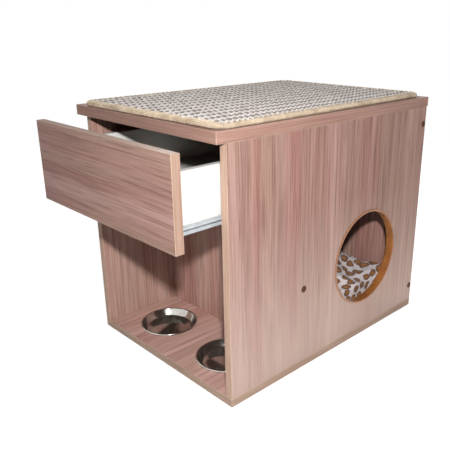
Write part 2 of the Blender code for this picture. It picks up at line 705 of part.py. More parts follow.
def make_mat():
    """The woven mat on the top and the yarn binding round its edge."""
    middle_y = (TOP_BACK_OVERHANG - TOP_FRONT_OVERHANG) / 2
    centre = Vector((MAT_OFFSET[0], middle_y + MAT_OFFSET[1], TOP_Z + SEAT_GAP))
    handle = empty_at("mat_centre", centre, MAT_SKEW)
    inset = 2 * BINDING_RADIUS + SEAT_GAP
    mesh = box_mesh("mat", (MAT_WIDTH - 2 * inset, MAT_DEPTH - 2 * inset, MAT_THICKNESS))
    shape = bmesh.new()
    shape.from_mesh(mesh)
    bmesh.ops.bevel(shape, geom=upright_edges(shape), offset=MAT_CORNER_RADIUS - inset,
                    segments=CORNER_STEPS - 1, profile=0.5, affect="EDGES", material=-1)
    shape.to_mesh(mesh)
    shape.free()
    link("mat", mesh, MAT_WEAVE, handle, (0, 0, MAT_THICKNESS / 2))
    radius = MAT_CORNER_RADIUS - BINDING_RADIUS
    corner_x = MAT_WIDTH / 2 - MAT_CORNER_RADIUS
    corner_y = MAT_DEPTH / 2 - MAT_CORNER_RADIUS
    path = []
    for quarter, (x, y) in enumerate(((1, 1), (-1, 1), (-1, -1), (1, -1))):
        for step in range(CORNER_STEPS):
            angle = math.radians(90) * (quarter + step / (CORNER_STEPS - 1))
            path.append((x * corner_x + radius * math.cos(angle),
                         y * corner_y + radius * math.sin(angle), 0))
    curve = bpy.data.curves.new("mat_binding", "CURVE")
    curve.dimensions = "3D"
    curve.twist_mode = "Z_UP"
    curve.bevel_depth = BINDING_RADIUS
    curve.bevel_resolution = 2
    spline = curve.splines.new("POLY")
    spline.points.add(len(path) - 1)
    for point, place in zip(spline.points, path):
        point.co = (*place, 1)
    spline.use_cyclic_u = True
    link("mat_binding", curve, BINDING_YARN, handle, (0, 0, BINDING_RADIUS))


def make_cushion():
    """The plush cushion: crowned, with its sides drawn in between the corners."""
    half_x = INNER_X - CUSHION_GAP
    half_y = (ROOM_BACK_Y - ROOM_FRONT_Y) / 2 - CUSHION_GAP
    middle = (0, (ROOM_BACK_Y + ROOM_FRONT_Y) / 2, BOTTOM_THICKNESS + SEAT_GAP)
    mesh = bpy.data.meshes.new("cushion")
    shape = bmesh.new()
    bmesh.ops.create_cube(shape, size=2)
    upright = upright_edges(shape)
    level = [edge for edge in shape.edges if edge not in upright]
    bmesh.ops.subdivide_edges(shape, edges=level, cuts=CUSHION_CELLS - 1, use_grid_fill=True)
    bmesh.ops.subdivide_edges(shape, edges=upright_edges(shape), cuts=CUSHION_LAYERS - 1,
                              use_grid_fill=True)
    for vert in shape.verts:
        across, along, up = vert.co
        rise = (up + 1) / 2
        swell = (1 - across ** CUSHION_SQUARENESS) * (1 - along ** CUSHION_SQUARENESS)
        height = CUSHION_EDGE_HEIGHT + (CUSHION_CROWN_HEIGHT - CUSHION_EDGE_HEIGHT) * swell
        drawn_x = CUSHION_PULL * (1 - along ** 2) * abs(across)
        drawn_y = CUSHION_PULL * (1 - across ** 2) * abs(along)
        vert.co = (across * (half_x - drawn_x), along * (half_y - drawn_y), rise * height)
    shape.to_mesh(mesh)
    shape.free()
    cushion = link("cushion", mesh, PLUSH, None, middle)
    mesh.shade_smooth()
    soften = cushion.modifiers.new("Soften", "SUBSURF")
    soften.levels = soften.render_levels = 1


def main():
    """Builds the whole cat house."""
    bottom, sides, top, divider, back = make_carcass()
    make_entrance(sides["right"])
    make_dishes(bottom)
    make_cabinet_fasteners(bottom, sides, top, divider, back)
    make_cabinet_rails(sides)
    make_drawer()
    make_mat()
    make_cushion()


main()
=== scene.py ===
"""The cat house as it is seen: printed boards, mat, cushion, dishes, slides and fittings.

Each class is one sub-assembly. It holds its own sizes in metres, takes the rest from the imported
frame, builds its meshes with their place in them, and dresses them.
"""

from __future__ import annotations

import json
import logging
import math
from dataclasses import dataclass
from enum import Enum
from typing import Any, Iterable, Sequence

import bmesh
import bpy
from mathutils import Matrix, Vector, noise
from mathutils.bvhtree import BVHTree

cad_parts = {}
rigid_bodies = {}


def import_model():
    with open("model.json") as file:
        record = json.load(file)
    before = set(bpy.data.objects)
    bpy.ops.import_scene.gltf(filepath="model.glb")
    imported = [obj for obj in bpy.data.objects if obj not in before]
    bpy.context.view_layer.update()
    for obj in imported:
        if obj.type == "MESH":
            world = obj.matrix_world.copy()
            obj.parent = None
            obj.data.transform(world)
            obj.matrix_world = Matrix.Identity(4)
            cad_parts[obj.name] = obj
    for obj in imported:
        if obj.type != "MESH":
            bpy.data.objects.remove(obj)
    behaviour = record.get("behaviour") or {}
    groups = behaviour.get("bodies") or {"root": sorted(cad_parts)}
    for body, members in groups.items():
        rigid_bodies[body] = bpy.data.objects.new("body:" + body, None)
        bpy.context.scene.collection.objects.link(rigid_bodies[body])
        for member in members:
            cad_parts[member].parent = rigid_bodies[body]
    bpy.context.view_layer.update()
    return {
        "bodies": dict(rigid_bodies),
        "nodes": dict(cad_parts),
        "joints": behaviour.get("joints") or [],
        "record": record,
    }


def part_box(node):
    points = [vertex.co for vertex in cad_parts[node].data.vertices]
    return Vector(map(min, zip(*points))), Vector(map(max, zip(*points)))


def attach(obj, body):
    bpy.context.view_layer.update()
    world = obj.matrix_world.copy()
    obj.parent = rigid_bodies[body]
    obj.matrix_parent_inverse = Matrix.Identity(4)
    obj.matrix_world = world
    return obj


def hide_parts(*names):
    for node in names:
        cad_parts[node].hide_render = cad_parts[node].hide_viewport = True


LOG = logging.getLogger("cat_house")
CABINET = "cabinet"
DRAWER = "drawer"

# Points closer than this become one, and a cutter goes this far past the face it opens
MERGE = 0.000002
OVERCUT = 0.001

Pair = tuple[float, float]
Colour = tuple[float, float, float]
Outline = Sequence[Pair]
Shape = bmesh.types.BMesh
Material = bpy.types.Material


class Axis(Enum):
    """A direction of the frame, by its place in a vector."""

    X = 0
    Y = 1
    Z = 2

    def unit(self) -> Vector:
        """The axis as a vector of length one."""
        return Vector([1.0 if place == self.value else 0.0 for place in range(3)])


class Side(Enum):
    """A side of the cabinet, with the sign of its X."""

    LEFT = -1
    RIGHT = 1

    def node(self, stem: str) -> str:
        """The name of a node or body that ends in this side."""
        return f"{stem}_{self.name.lower()}"


class Slot(Enum):
    """The material slots of the record, one named for each kind of new piece."""

    RING_PLASTIC = "ring_plastic"
    CAP_PLASTIC = "cap_plastic"
    ZINC = "zinc"
    WHITE_STEEL = "white_steel"
    NYLON = "nylon"
    STAINLESS = "stainless"
    MAT_WEAVE = "mat_weave"
    BINDING_YARN = "binding_yarn"
    PLUSH = "plush"


def tone(red: int, green: int, blue: int) -> Colour:
    """A colour as it is seen on a screen, made linear.

    Args:
        red: The red value from 0 to 255.
        green: The green value from 0 to 255.
        blue: The blue value from 0 to 255.

    Returns:
        The linear colour.
    """
    steps = []
    for value in (red, green, blue):
        part = value / 255
        steps.append(part / 12.92 if part <= 0.04045 else ((part + 0.055) / 1.055) ** 2.4)
    return (steps[0], steps[1], steps[2])


@dataclass(frozen=True)
class Speckle:
    """Soft noise by its waves a metre, and the range of its values that counts.

    The detail is its finer layers, rough is how strong these are, and warp is how far they bend.
    """

    scale: float
    detail: float = 2.0
    rough: float = 0.5
    warp: float = 0.0
    low: float = 0.3
    high: float = 0.7


class Graph:
    """The nodes of one material, each added and joined in a line."""

    def __init__(self, name: str, **shader: Any) -> None:
        """Starts a material.

        Args:
            name: The material's name.
            shader: Values of the shader's own sockets, with underscores for spaces.
        """
        self.material = bpy.data.materials.new(name)
        self.material.use_nodes = True
        self.tree = self.material.node_tree
        self.shader = self.tree.nodes["Principled BSDF"]
        self.point = self.add("TexCoord", {}, "Object")
        for socket, value in shader.items():
            self.feed(self.shader.inputs[socket.replace("_", " ")], value)

    def feed(self, socket: Any, value: Any) -> None:
        """Joins another node's output to a socket, or sets the socket's value.

        Args:
            socket: The input socket.
            value: The output, number, vector or colour.
        """
        if isinstance(value, bpy.types.NodeSocket):
            self.tree.links.new(value, socket)
        elif socket.type == "RGBA" and len(value) == 3:
            socket.default_value = (*value, 1.0)
        else:
            socket.default_value = value

    def add(self, kind: str, inputs: dict[Any, Any], output: Any = 0, **settings: Any) -> Any:
        """Adds a node.

        Args:
            kind: The node's type without its prefix.
            inputs: What goes into its sockets, by name or place.
            output: The name or place of the wanted output.
            settings: The node's own settings.

        Returns:
            The wanted output socket.
        """
        node = self.tree.nodes.new("ShaderNode" + kind)
        for name, value in settings.items():
            setattr(node, name, value)
        for place, value in inputs.items():
            self.feed(node.inputs[place], value)
        return node.outputs[output]

    def mapped(self, point: Any, scale: Sequence[float] = (1, 1, 1),
               shift: Sequence[float] = (0, 0, 0)) -> Any:
        """A point scaled and moved."""
        return self.add("Mapping", {"Vector": point, "Scale": scale, "Location": shift})

    def cloud(self, speckle: Speckle, point: Any = None) -> Any:
        """The noise of a speckle from 0 to 1, at the surface's own point if no other is given."""
        return self.add("TexNoise", {
            "Vector": self.point if point is None else point, "Scale": speckle.scale,
            "Detail": speckle.detail, "Roughness": speckle.rough,
            "Distortion": speckle.warp}, "Fac")

    def span(self, value: Any, low: float, high: float, to_low: float = 0.0,
             to_high: float = 1.0) -> Any:
        """A value stretched from one range to another and kept inside it."""
        return self.add("MapRange", {"Value": value, "From Min": low, "From Max": high,
                                     "To Min": to_low, "To Max": to_high}, "Result")

    def speckled(self, speckle: Speckle, point: Any = None, to_low: float = 0.0,
                 to_high: float = 1.0) -> Any:
        """A speckle's noise, stretched from its own range to another."""
        return self.span(self.cloud(speckle, point), speckle.low, speckle.high, to_low, to_high)

    def sums(self, operation: str, first: Any, second: Any = 0.0) -> Any:
        """One step of arithmetic."""
        return self.add("Math", {0: first, 1: second}, operation=operation)

    def times(self, first: Any, second: Any) -> Any:
        """Two values multiplied."""
        return self.sums("MULTIPLY", first, second)

    def plus(self, first: Any, second: Any) -> Any:
        """Two values added."""
        return self.sums("ADD", first, second)

    def vectors(self, operation: str, first: Any, second: Any = (0, 0, 0), output: Any = 0) -> Any:
        """One step of vector arithmetic."""
        return self.add("VectorMath", {0: first, 1: second}, output, operation=operation)

    def scaled(self, vector: Any, factor: Any) -> Any:
        """A vector made longer or shorter."""
        return self.add("VectorMath", {0: vector, "Scale": factor}, operation="SCALE")

    def mixed(self, factor: Any, first: Any, second: Any, mode: str = "MIX") -> Any:
        """Two colours mixed."""
        return self.add("Mix", {0: factor, 6: first, 7: second}, 2, data_type="RGBA",
                        blend_type=mode)

    def bumped(self, height: Any, strength: float, depth: float) -> Any:
        """The surface normal moved by a height."""
        return self.add("Bump", {"Height": height, "Strength": strength, "Distance": depth})

    def finish(self, colour: Any, rough: Any, normal: Any) -> Material:
        """Joins what was made to the shader and returns the material.

        Args:
            colour: The base colour.
            rough: The roughness.
            normal: The surface normal.

        Returns:
            The material.
        """
        for socket, value in (("Base Color", colour), ("Roughness", rough), ("Normal", normal)):
            self.feed(self.shader.inputs[socket], value)
        return self.material


class Band(Enum):
    """The finish of a board's edges: lightest and darkest tone."""

    BEIGE = (tone(206, 174, 154), tone(184, 149, 130))
    # Painted shade: the beige band painted darker for the drawer front, whose end takes the
    # strongest light
    SAND = (tone(186, 156, 138), tone(164, 132, 115))
    GREY = (tone(196, 168, 148), tone(168, 138, 120))
    PRINTED = (tone(182, 145, 131), tone(158, 120, 108))


@dataclass(frozen=True)
class Board:
    """One printed board: how its grain runs and how it differs from the others.

    The drift moves the print along its roll and calm weakens its streaks. The gain is painted
    light: it makes a board lighter or darker for how much light falls on it. Near the floor a
    painted reflection of the pale floor whitens the print, as strongly as its share says.
    """

    node: str
    grain: Axis
    thickness: Axis
    band: Band
    drift: float
    lift: float = 1.0
    calm: float = 0.0
    scuffed: float = 0.0


@dataclass(frozen=True)
class WoodPrint:
    """Streaked pinkish wood printed on a board's faces, with a band along its edges.

    Broad bands run from pale to rosy. Over them lie khaki bands, streaks and lines, each with a
    share that says how strongly it shows. The edges are paler along a thin line, in patches.
    Near the floor a painted reflection of the pale floor whitens the print.
    """

    board: Board
    low: Vector
    high: Vector
    pale: Colour = tone(200, 162, 151)
    rosy: Colour = tone(175, 128, 118)
    khaki: Colour = tone(180, 149, 133)
    streak: Colour = tone(145, 103, 95)
    line: Colour = tone(108, 74, 64)
    middle: Colour = tone(177, 141, 133)
    # Painted reflection: the pale floor mirrored in the satin board, whitening it near the floor
    scuff: Colour = tone(208, 184, 172)
    arris: Colour = tone(212, 186, 164)
    arris_width: float = 0.0007
    square_on: Pair = (0.8, 0.9)
    worn: Pair = (0.20, 0.65)
    gloss: Pair = (0.36, 0.50)
    gloss_from: Pair = (0.2, 0.8)
    relief: Pair = (0.25, 0.00015)
    along_share: float = 0.020
    sway: float = 0.007
    wobble: Speckle = Speckle(4.0, 1.0)
    broad_bands: Speckle = Speckle(22.0, 1.0, low=0.38, high=0.58)
    dry_bands: Speckle = Speckle(26.0, 1.0, low=0.42, high=0.58)
    dry_shift: tuple[float, float, float] = (3.1, 1.7, 2.3)
    dry_share: float = 0.78
    streaks: Speckle = Speckle(120.0, 2.0, 0.6, low=0.42, high=0.66)
    streak_share: float = 0.60
    narrow_lines: Speckle = Speckle(380.0, 2.0, 0.6, low=0.34, high=0.66)
    line_share: float = 0.46
    pale_lines: Pair = (0.05, 0.40)
    dark_lines: Pair = (0.62, 1.0)
    fine_lines: Speckle = Speckle(900.0, 3.0, 0.7, low=0.48, high=0.66)
    fine_share: float = 0.20
    groove: float = 0.8
    edge_fibre: Speckle = Speckle(420.0, 3.0, 0.6, low=0.35, high=0.65)
    wear: Speckle = Speckle(60.0, 3.0, low=0.3, high=0.55)
    scuff_patch: Speckle = Speckle(9.0)
    scuff_heights: Pair = (0.05, 0.30)

    def stretched(self, run: Iterable[Axis]) -> Vector:
        """The scale that draws a pattern out along some axes."""
        drawn = [axis.value for axis in run]
        return Vector([self.along_share if place in drawn else 1.0 for place in range(3)])

    def make(self) -> Material:
        """Builds the material for this board.

        Returns:
            The material.
        """
        board = self.board
        graph = Graph(f"print_{board.node}", Specular_IOR_Level=0.10)
        facing = graph.add("TexCoord", {}, "Normal")
        wobble = graph.cloud(self.wobble, graph.mapped(graph.point, shift=(board.drift, 0, 0)))
        shifted = graph.vectors("ADD", graph.point, self.wander(graph, wobble))
        along = graph.mapped(shifted, self.stretched([board.grain]), (board.drift,) * 3)
        colour, height = self.print_colour(graph, along)
        colour = graph.mixed(board.calm, colour, self.middle)
        # Painted light: the board's gain lightens or darkens it for how much light falls on it
        colour = graph.mixed(1.0, colour, (board.lift,) * 3, "MULTIPLY")
        # Painted reflection of the pale floor, strongest near the floor
        colour = graph.mixed(self.scuff_mask(graph), colour, self.scuff)
        flat = graph.vectors("DOT_PRODUCT", graph.vectors("ABSOLUTE", facing),
                             board.thickness.unit(), "Value")
        colour = graph.mixed(graph.span(flat, *self.square_on), self.band_colour(graph), colour)
        worn = graph.speckled(self.wear, None, *self.worn)
        colour = graph.mixed(graph.times(self.arris_mask(graph), worn), colour, self.arris)
        rough = graph.span(height, *self.gloss_from, *self.gloss)
        return graph.finish(colour, rough, graph.bumped(height, *self.relief))

    def band_colour(self, graph: Graph) -> Any:
        """The fibrous colour of the edge band, drawn out along the board's edges.

        Args:
            graph: The material's graph.

        Returns:
            The colour.
        """
        others = [axis for axis in Axis if axis is not self.board.thickness]
        run = graph.mapped(graph.point, self.stretched(others), (self.board.drift + 1.0,) * 3)
        pale, dark = self.board.band.value
        return graph.mixed(graph.speckled(self.edge_fibre, run), dark, pale)

    def scuff_mask(self, graph: Graph) -> Any:
        """How strongly a painted reflection of the pale floor whitens the print, most near the
        floor.

        Args:
            graph: The material's graph.

        Returns:
            The share of the painted reflection.
        """
        height = graph.vectors("DOT_PRODUCT", graph.point, Axis.Z.unit(), "Value")
        fade = graph.span(height, *self.scuff_heights, self.board.scuffed, 0.0)
        upright = graph.mapped(graph.point, (1, 1, 0.4))
        return graph.times(fade, graph.speckled(self.scuff_patch, upright, 0.6, 1.0))

    def wander(self, graph: Graph, wobble: Any) -> Any:
        """A slow sideways drift of the grain, across its own direction."""
        across = Vector([0.0 if axis is self.board.grain else self.sway for axis in Axis])
        return graph.scaled(across, graph.sums("SUBTRACT", wobble, 0.5))

    def print_colour(self, graph: Graph, along: Any) -> tuple[Any, Any]:
        """The printed streaks.

        Args:
            graph: The material's graph.
            along: The surface point with the grain direction drawn out.

        Returns:
            The colour, and a height for roughness and relief.
        """
        narrow = graph.speckled(self.narrow_lines, along)
        dry_point = graph.mapped(along, shift=self.dry_shift)
        colour = graph.mixed(graph.speckled(self.broad_bands, along), self.pale, self.rosy)
        for share, tint in (
            (graph.times(graph.speckled(self.dry_bands, dry_point), self.dry_share), self.khaki),
            (graph.times(graph.speckled(self.streaks, along), self.streak_share), self.streak),
            (graph.span(narrow, *self.pale_lines, self.line_share, 0.0), self.pale),
            (graph.span(narrow, *self.dark_lines, 0.0, self.line_share), self.line),
            (graph.times(graph.speckled(self.fine_lines, along), self.fine_share), self.line),
        ):
            colour = graph.mixed(share, colour, tint)
        return colour, graph.sums("SUBTRACT", 1.0, graph.times(narrow, self.groove))

    def arris_mask(self, graph: Graph) -> Any:
        """One where two faces of the board meet, nought elsewhere.

        Args:
            graph: The material's graph.

        Returns:
            The mask.
        """
        offset = graph.vectors("SUBTRACT", graph.point, (self.low + self.high) / 2)
        depth = graph.vectors("SUBTRACT", (self.high - self.low) / 2,
                              graph.vectors("ABSOLUTE", offset))
        parts = graph.tree.nodes.new("ShaderNodeSeparateXYZ")
        graph.feed(parts.inputs[0], depth)
        near = [graph.span(out, self.arris_width * 0.6, self.arris_width, 1.0, 0.0)
                for out in parts.outputs]
        return graph.span(graph.plus(graph.plus(near[0], near[1]), near[2]), 1.0, 2.0)


@dataclass(frozen=True)
class HardFinish:
    """A hard finish: two tones in soft patches, a gloss that varies and a fine relief.

    The gloss is the lowest and highest roughness, and it follows the grain or the patches. The
    relief is its strength and its depth.
    """

    name: str
    light: Colour
    deep: Colour
    patch: Speckle
    grain: Speckle
    gloss: Pair
    relief: Pair
    shader: dict[str, float]
    follows_grain: bool = False
    stretch: tuple[float, float, float] = (1, 1, 1)
    gloss_from: Pair = (0.3, 0.7)

    def make(self) -> Material:
        """Builds the material.

        Returns:
            The material.
        """
        graph = Graph(self.name, **self.shader)
        patch = graph.cloud(self.patch)
        grain = graph.cloud(self.grain, graph.mapped(graph.point, self.stretch))
        tint = graph.span(patch, self.patch.low, self.patch.high)
        source = grain if self.follows_grain else patch
        rough = graph.span(source, *self.gloss_from, *self.gloss)
        return graph.finish(graph.mixed(tint, self.light, self.deep), rough,
                            graph.bumped(grain, *self.relief))


# White faced board, a little uneven in its gloss
WHITE_MELAMINE = HardFinish(
    "white_melamine", tone(250, 247, 241), tone(238, 235, 230),
    Speckle(30.0, 4.0, 0.6, low=0.35, high=0.75), Speckle(900.0), (0.30, 0.42), (0.12, 0.0001),
    {"Specular_IOR_Level": 0.45})

# Moulded orange-brown plastic with a clear shine
ORANGE_PLASTIC = HardFinish(
    "gloss_orange_plastic", tone(176, 112, 58), tone(142, 88, 48),
    Speckle(26.0, 3.0, 0.6, 0.6), Speckle(240.0), (0.24, 0.34), (0.06, 0.0002),
    {"Coat_Weight": 0.35, "Coat_Roughness": 0.12}, follows_grain=True)

# Dark brown moulded plastic with a fine pebbled face
CAP_PLASTIC = HardFinish(
    "brown_cap_plastic", tone(104, 62, 46), tone(60, 34, 26),
    Speckle(420.0, low=0.35, high=0.65), Speckle(2600.0, 3.0, 0.7), (0.42, 0.58), (0.3, 0.0001),
    {"Specular_IOR_Level": 0.12})

# Bright zinc with cloudy passivation and fine scratches
ZINC_PLATE = HardFinish(
    "zinc_plate", tone(206, 207, 204), tone(188, 182, 160),
    Speckle(330.0, 4.0, 0.6, low=0.35), Speckle(2600.0), (0.24, 0.44), (0.15, 0.00004),
    {"Metallic": 1.0}, follows_grain=True, stretch=(1, 0.08, 1))

# White baked paint on sheet steel, with a faint orange peel
WHITE_ENAMEL = HardFinish(
    "white_enamel", tone(180, 186, 189), tone(152, 159, 164),
    Speckle(40.0, 3.0, low=0.4), Speckle(700.0), (0.26, 0.36), (0.2, 0.00012),
    {"Coat_Weight": 0.3, "Coat_Roughness": 0.2})

# Milky nylon, slightly yellow, with mould flow lines
MILKY_NYLON = HardFinish(
    "milky_nylon", tone(236, 234, 224), tone(216, 211, 194),
    Speckle(500.0, 3.0, 0.6, 0.4, low=0.35), Speckle(500.0, 3.0, 0.6, 0.4), (0.38, 0.5),
    (0.1, 0.00008), {"Subsurface_Weight": 0.15, "Subsurface_Scale": 0.002})


@dataclass(frozen=True)
class Stainless:
    """Spun stainless steel, polished, with fine turning rings about its own middle."""

    name: str
    middle: Vector
    bright: Colour = tone(222, 218, 212)
    dim: Colour = tone(196, 191, 184)
    rings: float = 1500.0
    gloss: Pair = (0.07, 0.18)
    gloss_from: Pair = (0.7, 1.3)
    relief: Pair = (0.10, 0.00003)
    patches: Speckle = Speckle(60.0, 3.0, low=0.35)

    def make(self) -> Material:
        """Builds the material.

        Returns:
            The material.
        """
        graph = Graph(self.name, Metallic=0.97)
        local = graph.vectors("SUBTRACT", graph.point, self.middle)
        level = graph.vectors("MULTIPLY", local, (1, 1, 0))
        reach = graph.vectors("LENGTH", level, output="Value")
        ring = graph.add("TexNoise", {"W": graph.times(reach, self.rings), "Scale": 1.0,
                                      "Detail": 3.0}, "Fac", noise_dimensions="1D")
        patch = graph.cloud(self.patches, local)
        tint = graph.span(patch, self.patches.low, self.patches.high)
        rough = graph.span(graph.plus(ring, patch), *self.gloss_from, *self.gloss)
        return graph.finish(graph.mixed(tint, self.bright, self.dim), rough,
                            graph.bumped(ring, *self.relief))


@dataclass(frozen=True)
class Yarn:
    """Spun yarn: strands that differ a little from each other, with fluff.

    The strand share is how much of the colour follows the fine strands. Soft patches do the rest.
    """

    name: str
    light: Colour
    dark: Colour
    twist_scale: float = 900.0
    strand_share: float = 0.6
    tint_from: Pair = (0.36, 0.62)
    gloss: Pair = (0.80, 0.98)
    gloss_from: Pair = (0.2, 0.8)
    relief: Pair = (0.7, 0.0006)
    patches: Speckle = Speckle(45.0, 3.0, 0.6)

    def make(self) -> Material:
        """Builds the material.

        Returns:
            The material.
        """
        graph = Graph(self.name, Sheen_Weight=0.3, Specular_IOR_Level=0.15)
        strand = graph.cloud(Speckle(self.twist_scale, 3.0, 0.7, 0.8))
        patch = graph.cloud(self.patches)
        share = graph.plus(graph.times(strand, self.strand_share),
                           graph.times(patch, 1 - self.strand_share))
        colour = graph.mixed(graph.span(share, *self.tint_from), self.dark, self.light)
        return graph.finish(colour, graph.span(strand, *self.gloss_from, *self.gloss),
                            graph.bumped(strand, *self.relief))


@dataclass(frozen=True)
class MatGround:
    """The dark ground of the mat, a coarse plain weave seen between its cords."""

    warp: Colour = tone(118, 104, 98)
    weft: Colour = tone(78, 66, 62)
    pitch: float = 0.004
    relief: Pair = (0.8, 0.0012)
    fluff: Speckle = Speckle(1100.0, 3.0, 0.7)

    def make(self) -> Material:
        """Builds the material.

        Returns:
            The material.
        """
        graph = Graph("mat_ground", Sheen_Weight=0.2, Specular_IOR_Level=0.15)
        scale = 0.5 / self.pitch
        over = graph.add("TexChecker", {"Vector": graph.mapped(graph.point, (1, 1, 0)),
                                        "Scale": 2 * scale}, "Fac")
        fluff = graph.cloud(self.fluff)
        thread = graph.add("TexWave", {"Vector": graph.point, "Scale": scale, "Distortion": 0.6},
                           "Fac", wave_type="BANDS", bands_direction="DIAGONAL")
        share = graph.plus(graph.times(over, 0.4), graph.times(fluff, 0.6))
        height = graph.plus(graph.times(thread, 0.6), fluff)
        return graph.finish(graph.mixed(share, self.weft, self.warp), 0.95,
                            graph.bumped(height, *self.relief))


@dataclass(frozen=True)
class SpottedPlush:
    """White plush with scattered golden-brown spots that have darker rims.

    The edge and the core are distances from a spot's middle, as shares of the spacing.
    """

    middle: Vector
    ground: Colour = tone(255, 244, 245)
    shade: Colour = tone(249, 231, 230)
    spot: Colour = tone(210, 143, 76)
    dull: Colour = tone(168, 112, 64)
    rim: Colour = tone(104, 58, 32)
    spacing: float = 0.027
    randomness: float = 0.55
    unfolding: float = 10.0
    bend_scale: float = 34.0
    bend: float = 0.006
    squeeze: tuple[float, float, float] = (0.88, 1.0, 1.0)
    edge: Pair = (0.345, 0.42)
    core: Pair = (0.12, 0.36)
    core_share: float = 0.9
    raggedness: float = 0.10
    relief: Pair = (0.9, 0.0018)
    ragged: Speckle = Speckle(150.0, 3.0, 0.6)
    fur: Speckle = Speckle(1500.0, 3.0, 0.7, low=0.30, high=0.62)
    gilding: Speckle = Speckle(300.0, low=0.35, high=0.65)
    clumps: Speckle = Speckle(350.0, 3.0, 0.6)
    clump_share: float = 1.5

    def make(self) -> Material:
        """Builds the material. The spots are laid out flat on the top and go on down the sides.

        Returns:
            The material.
        """
        graph = Graph("spotted_plush", Sheen_Weight=0.15, Sheen_Roughness=0.5,
                      Specular_IOR_Level=0.1)
        local = graph.vectors("SUBTRACT", graph.point, self.middle)
        depth = graph.vectors("DOT_PRODUCT", local, (0, 0, -self.unfolding), "Value")
        unfolded = graph.scaled(local, graph.plus(depth, 1.0))
        bent = graph.add("TexNoise", {"Vector": graph.point, "Scale": self.bend_scale,
                                      "Detail": 2.0}, "Color")
        moved = graph.scaled(graph.vectors("SUBTRACT", bent, (0.5, 0.5, 0.5)), self.bend)
        wandered = graph.mapped(graph.vectors("ADD", unfolded, moved), self.squeeze)
        cells = graph.tree.nodes.new("ShaderNodeTexVoronoi")
        cells.voronoi_dimensions = "2D"
        for socket, value in (("Vector", wandered), ("Scale", 1 / self.spacing),
                              ("Randomness", self.randomness)):
            graph.feed(cells.inputs[socket], value)
        reach = graph.plus(cells.outputs["Distance"],
                           graph.speckled(self.ragged, None, -self.raggedness, self.raggedness))
        inside = graph.span(reach, *self.edge, 1.0, 0.0)
        core = graph.span(reach, *self.core, 1.0, 0.0)
        fur = graph.cloud(self.fur)
        white = graph.mixed(graph.span(fur, self.fur.low, self.fur.high), self.shade, self.ground)
        gold = graph.mixed(graph.speckled(self.gilding), self.dull, self.spot)
        marked = graph.mixed(graph.times(core, self.core_share), self.rim, gold)
        height = graph.plus(fur, graph.times(graph.cloud(self.clumps), self.clump_share))
        return graph.finish(graph.mixed(inside, white, marked), 0.95,
                            graph.bumped(height, *self.relief))


def corners(node: str) -> tuple[Vector, Vector, Vector]:
    """A node's lowest corner, its highest corner and its middle."""
    low, high = (Vector(corner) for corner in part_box(node))
    return low, high, (low + high) / 2


def held(value: float, low: float, high: float) -> float:
    """A value kept between two others."""
    return min(max(value, low), high)


def rounded(path: Outline, radius: float, steps: int = 4) -> list[Pair]:
    """A path whose inner corners are rounded.

    Args:
        path: The path's corners.
        radius: The radius at each inner corner.
        steps: The number of facets round a corner.

    Returns:
        The points of the rounded path.
    """
    points = [Vector(corner) for corner in path]
    smooth = [points[0]]
    for before, corner, after in zip(points, points[1:], points[2:]):
        back = (before - corner).normalized()
        ahead = (after - corner).normalized()
        for step in range(steps + 1):
            share = step / steps
            smooth.append(corner + radius * (back * (1 - share) ** 2 + ahead * share ** 2))
    smooth.append(points[-1])
    return [(point.x, point.y) for point in smooth]


def spun(outline: Outline, steps: int, closed: bool = False) -> Shape:
    """A shape turned about Z.

    Args:
        outline: Points of (radius, height), from the top of the axis outwards and down.
        steps: The number of facets round the axis.
        closed: Whether the outline joins up with itself instead of ending on the axis.

    Returns:
        The closed shape.
    """
    shape = bmesh.new()
    verts = [shape.verts.new((radius, 0, height)) for radius, height in outline]
    edges = [shape.edges.new(pair) for pair in zip(verts, verts[1:])]
    if closed:
        edges.append(shape.edges.new((verts[-1], verts[0])))
    bmesh.ops.spin(shape, geom=verts + edges, cent=(0, 0, 0), axis=(0, 0, 1), angle=math.tau,
                   steps=steps, use_merge=True, use_duplicate=False)
    return mended(shape)


def mended(shape: Shape) -> Shape:
    """A shape with its doubles merged and its faces pointing outwards.

    Args:
        shape: The shape, which is changed.

    Returns:
        The same shape.
    """
    bmesh.ops.remove_doubles(shape, verts=shape.verts, dist=MERGE)
    bmesh.ops.recalc_face_normals(shape, faces=shape.faces)
    return shape


def block(low: Sequence[float], high: Sequence[float]) -> Shape:
    """A cuboid between two corners.

    Args:
        low: Its lowest corner.
        high: Its highest corner.

    Returns:
        The cuboid.
    """
    low, high = Vector(low), Vector(high)
    place = Matrix.Translation((low + high) / 2) @ Matrix.Diagonal((*(high - low), 1))
    shape = bmesh.new()
    bmesh.ops.create_cube(shape, size=1, matrix=place)
    return shape


def rod(start: Sequence[float], end: Sequence[float], radius: float, sides: int = 16) -> Shape:
    """A round rod between two points.

    Args:
        start: The middle of one end.
        end: The middle of the other end.
        radius: Its radius.
        sides: The number of facets round it.

    Returns:
        The rod.
    """
    start, end = Vector(start), Vector(end)
    run = end - start
    turn = run.to_track_quat("Z", "Y").to_matrix().to_4x4()
    shape = bmesh.new()
    bmesh.ops.create_cone(shape, cap_ends=True, segments=sides, radius1=radius, radius2=radius,
                          depth=run.length, matrix=Matrix.Translation((start + end) / 2) @ turn)
    return shape


def eased(shape: Shape, edges: Sequence[bmesh.types.BMEdge], width: float, steps: int) -> Shape:
    """A shape with some edges rounded."""
    bmesh.ops.bevel(shape, geom=edges, offset=width, segments=steps, profile=0.5, affect="EDGES",
                    material=-1)
    return shape


def edges_along(shape: Shape, axis: Axis, least: float) -> list[bmesh.types.BMEdge]:
    """The edges that run further than a length along an axis."""
    run = axis.value
    return [edge for edge in shape.edges
            if abs(edge.verts[0].co[run] - edge.verts[1].co[run]) > least]


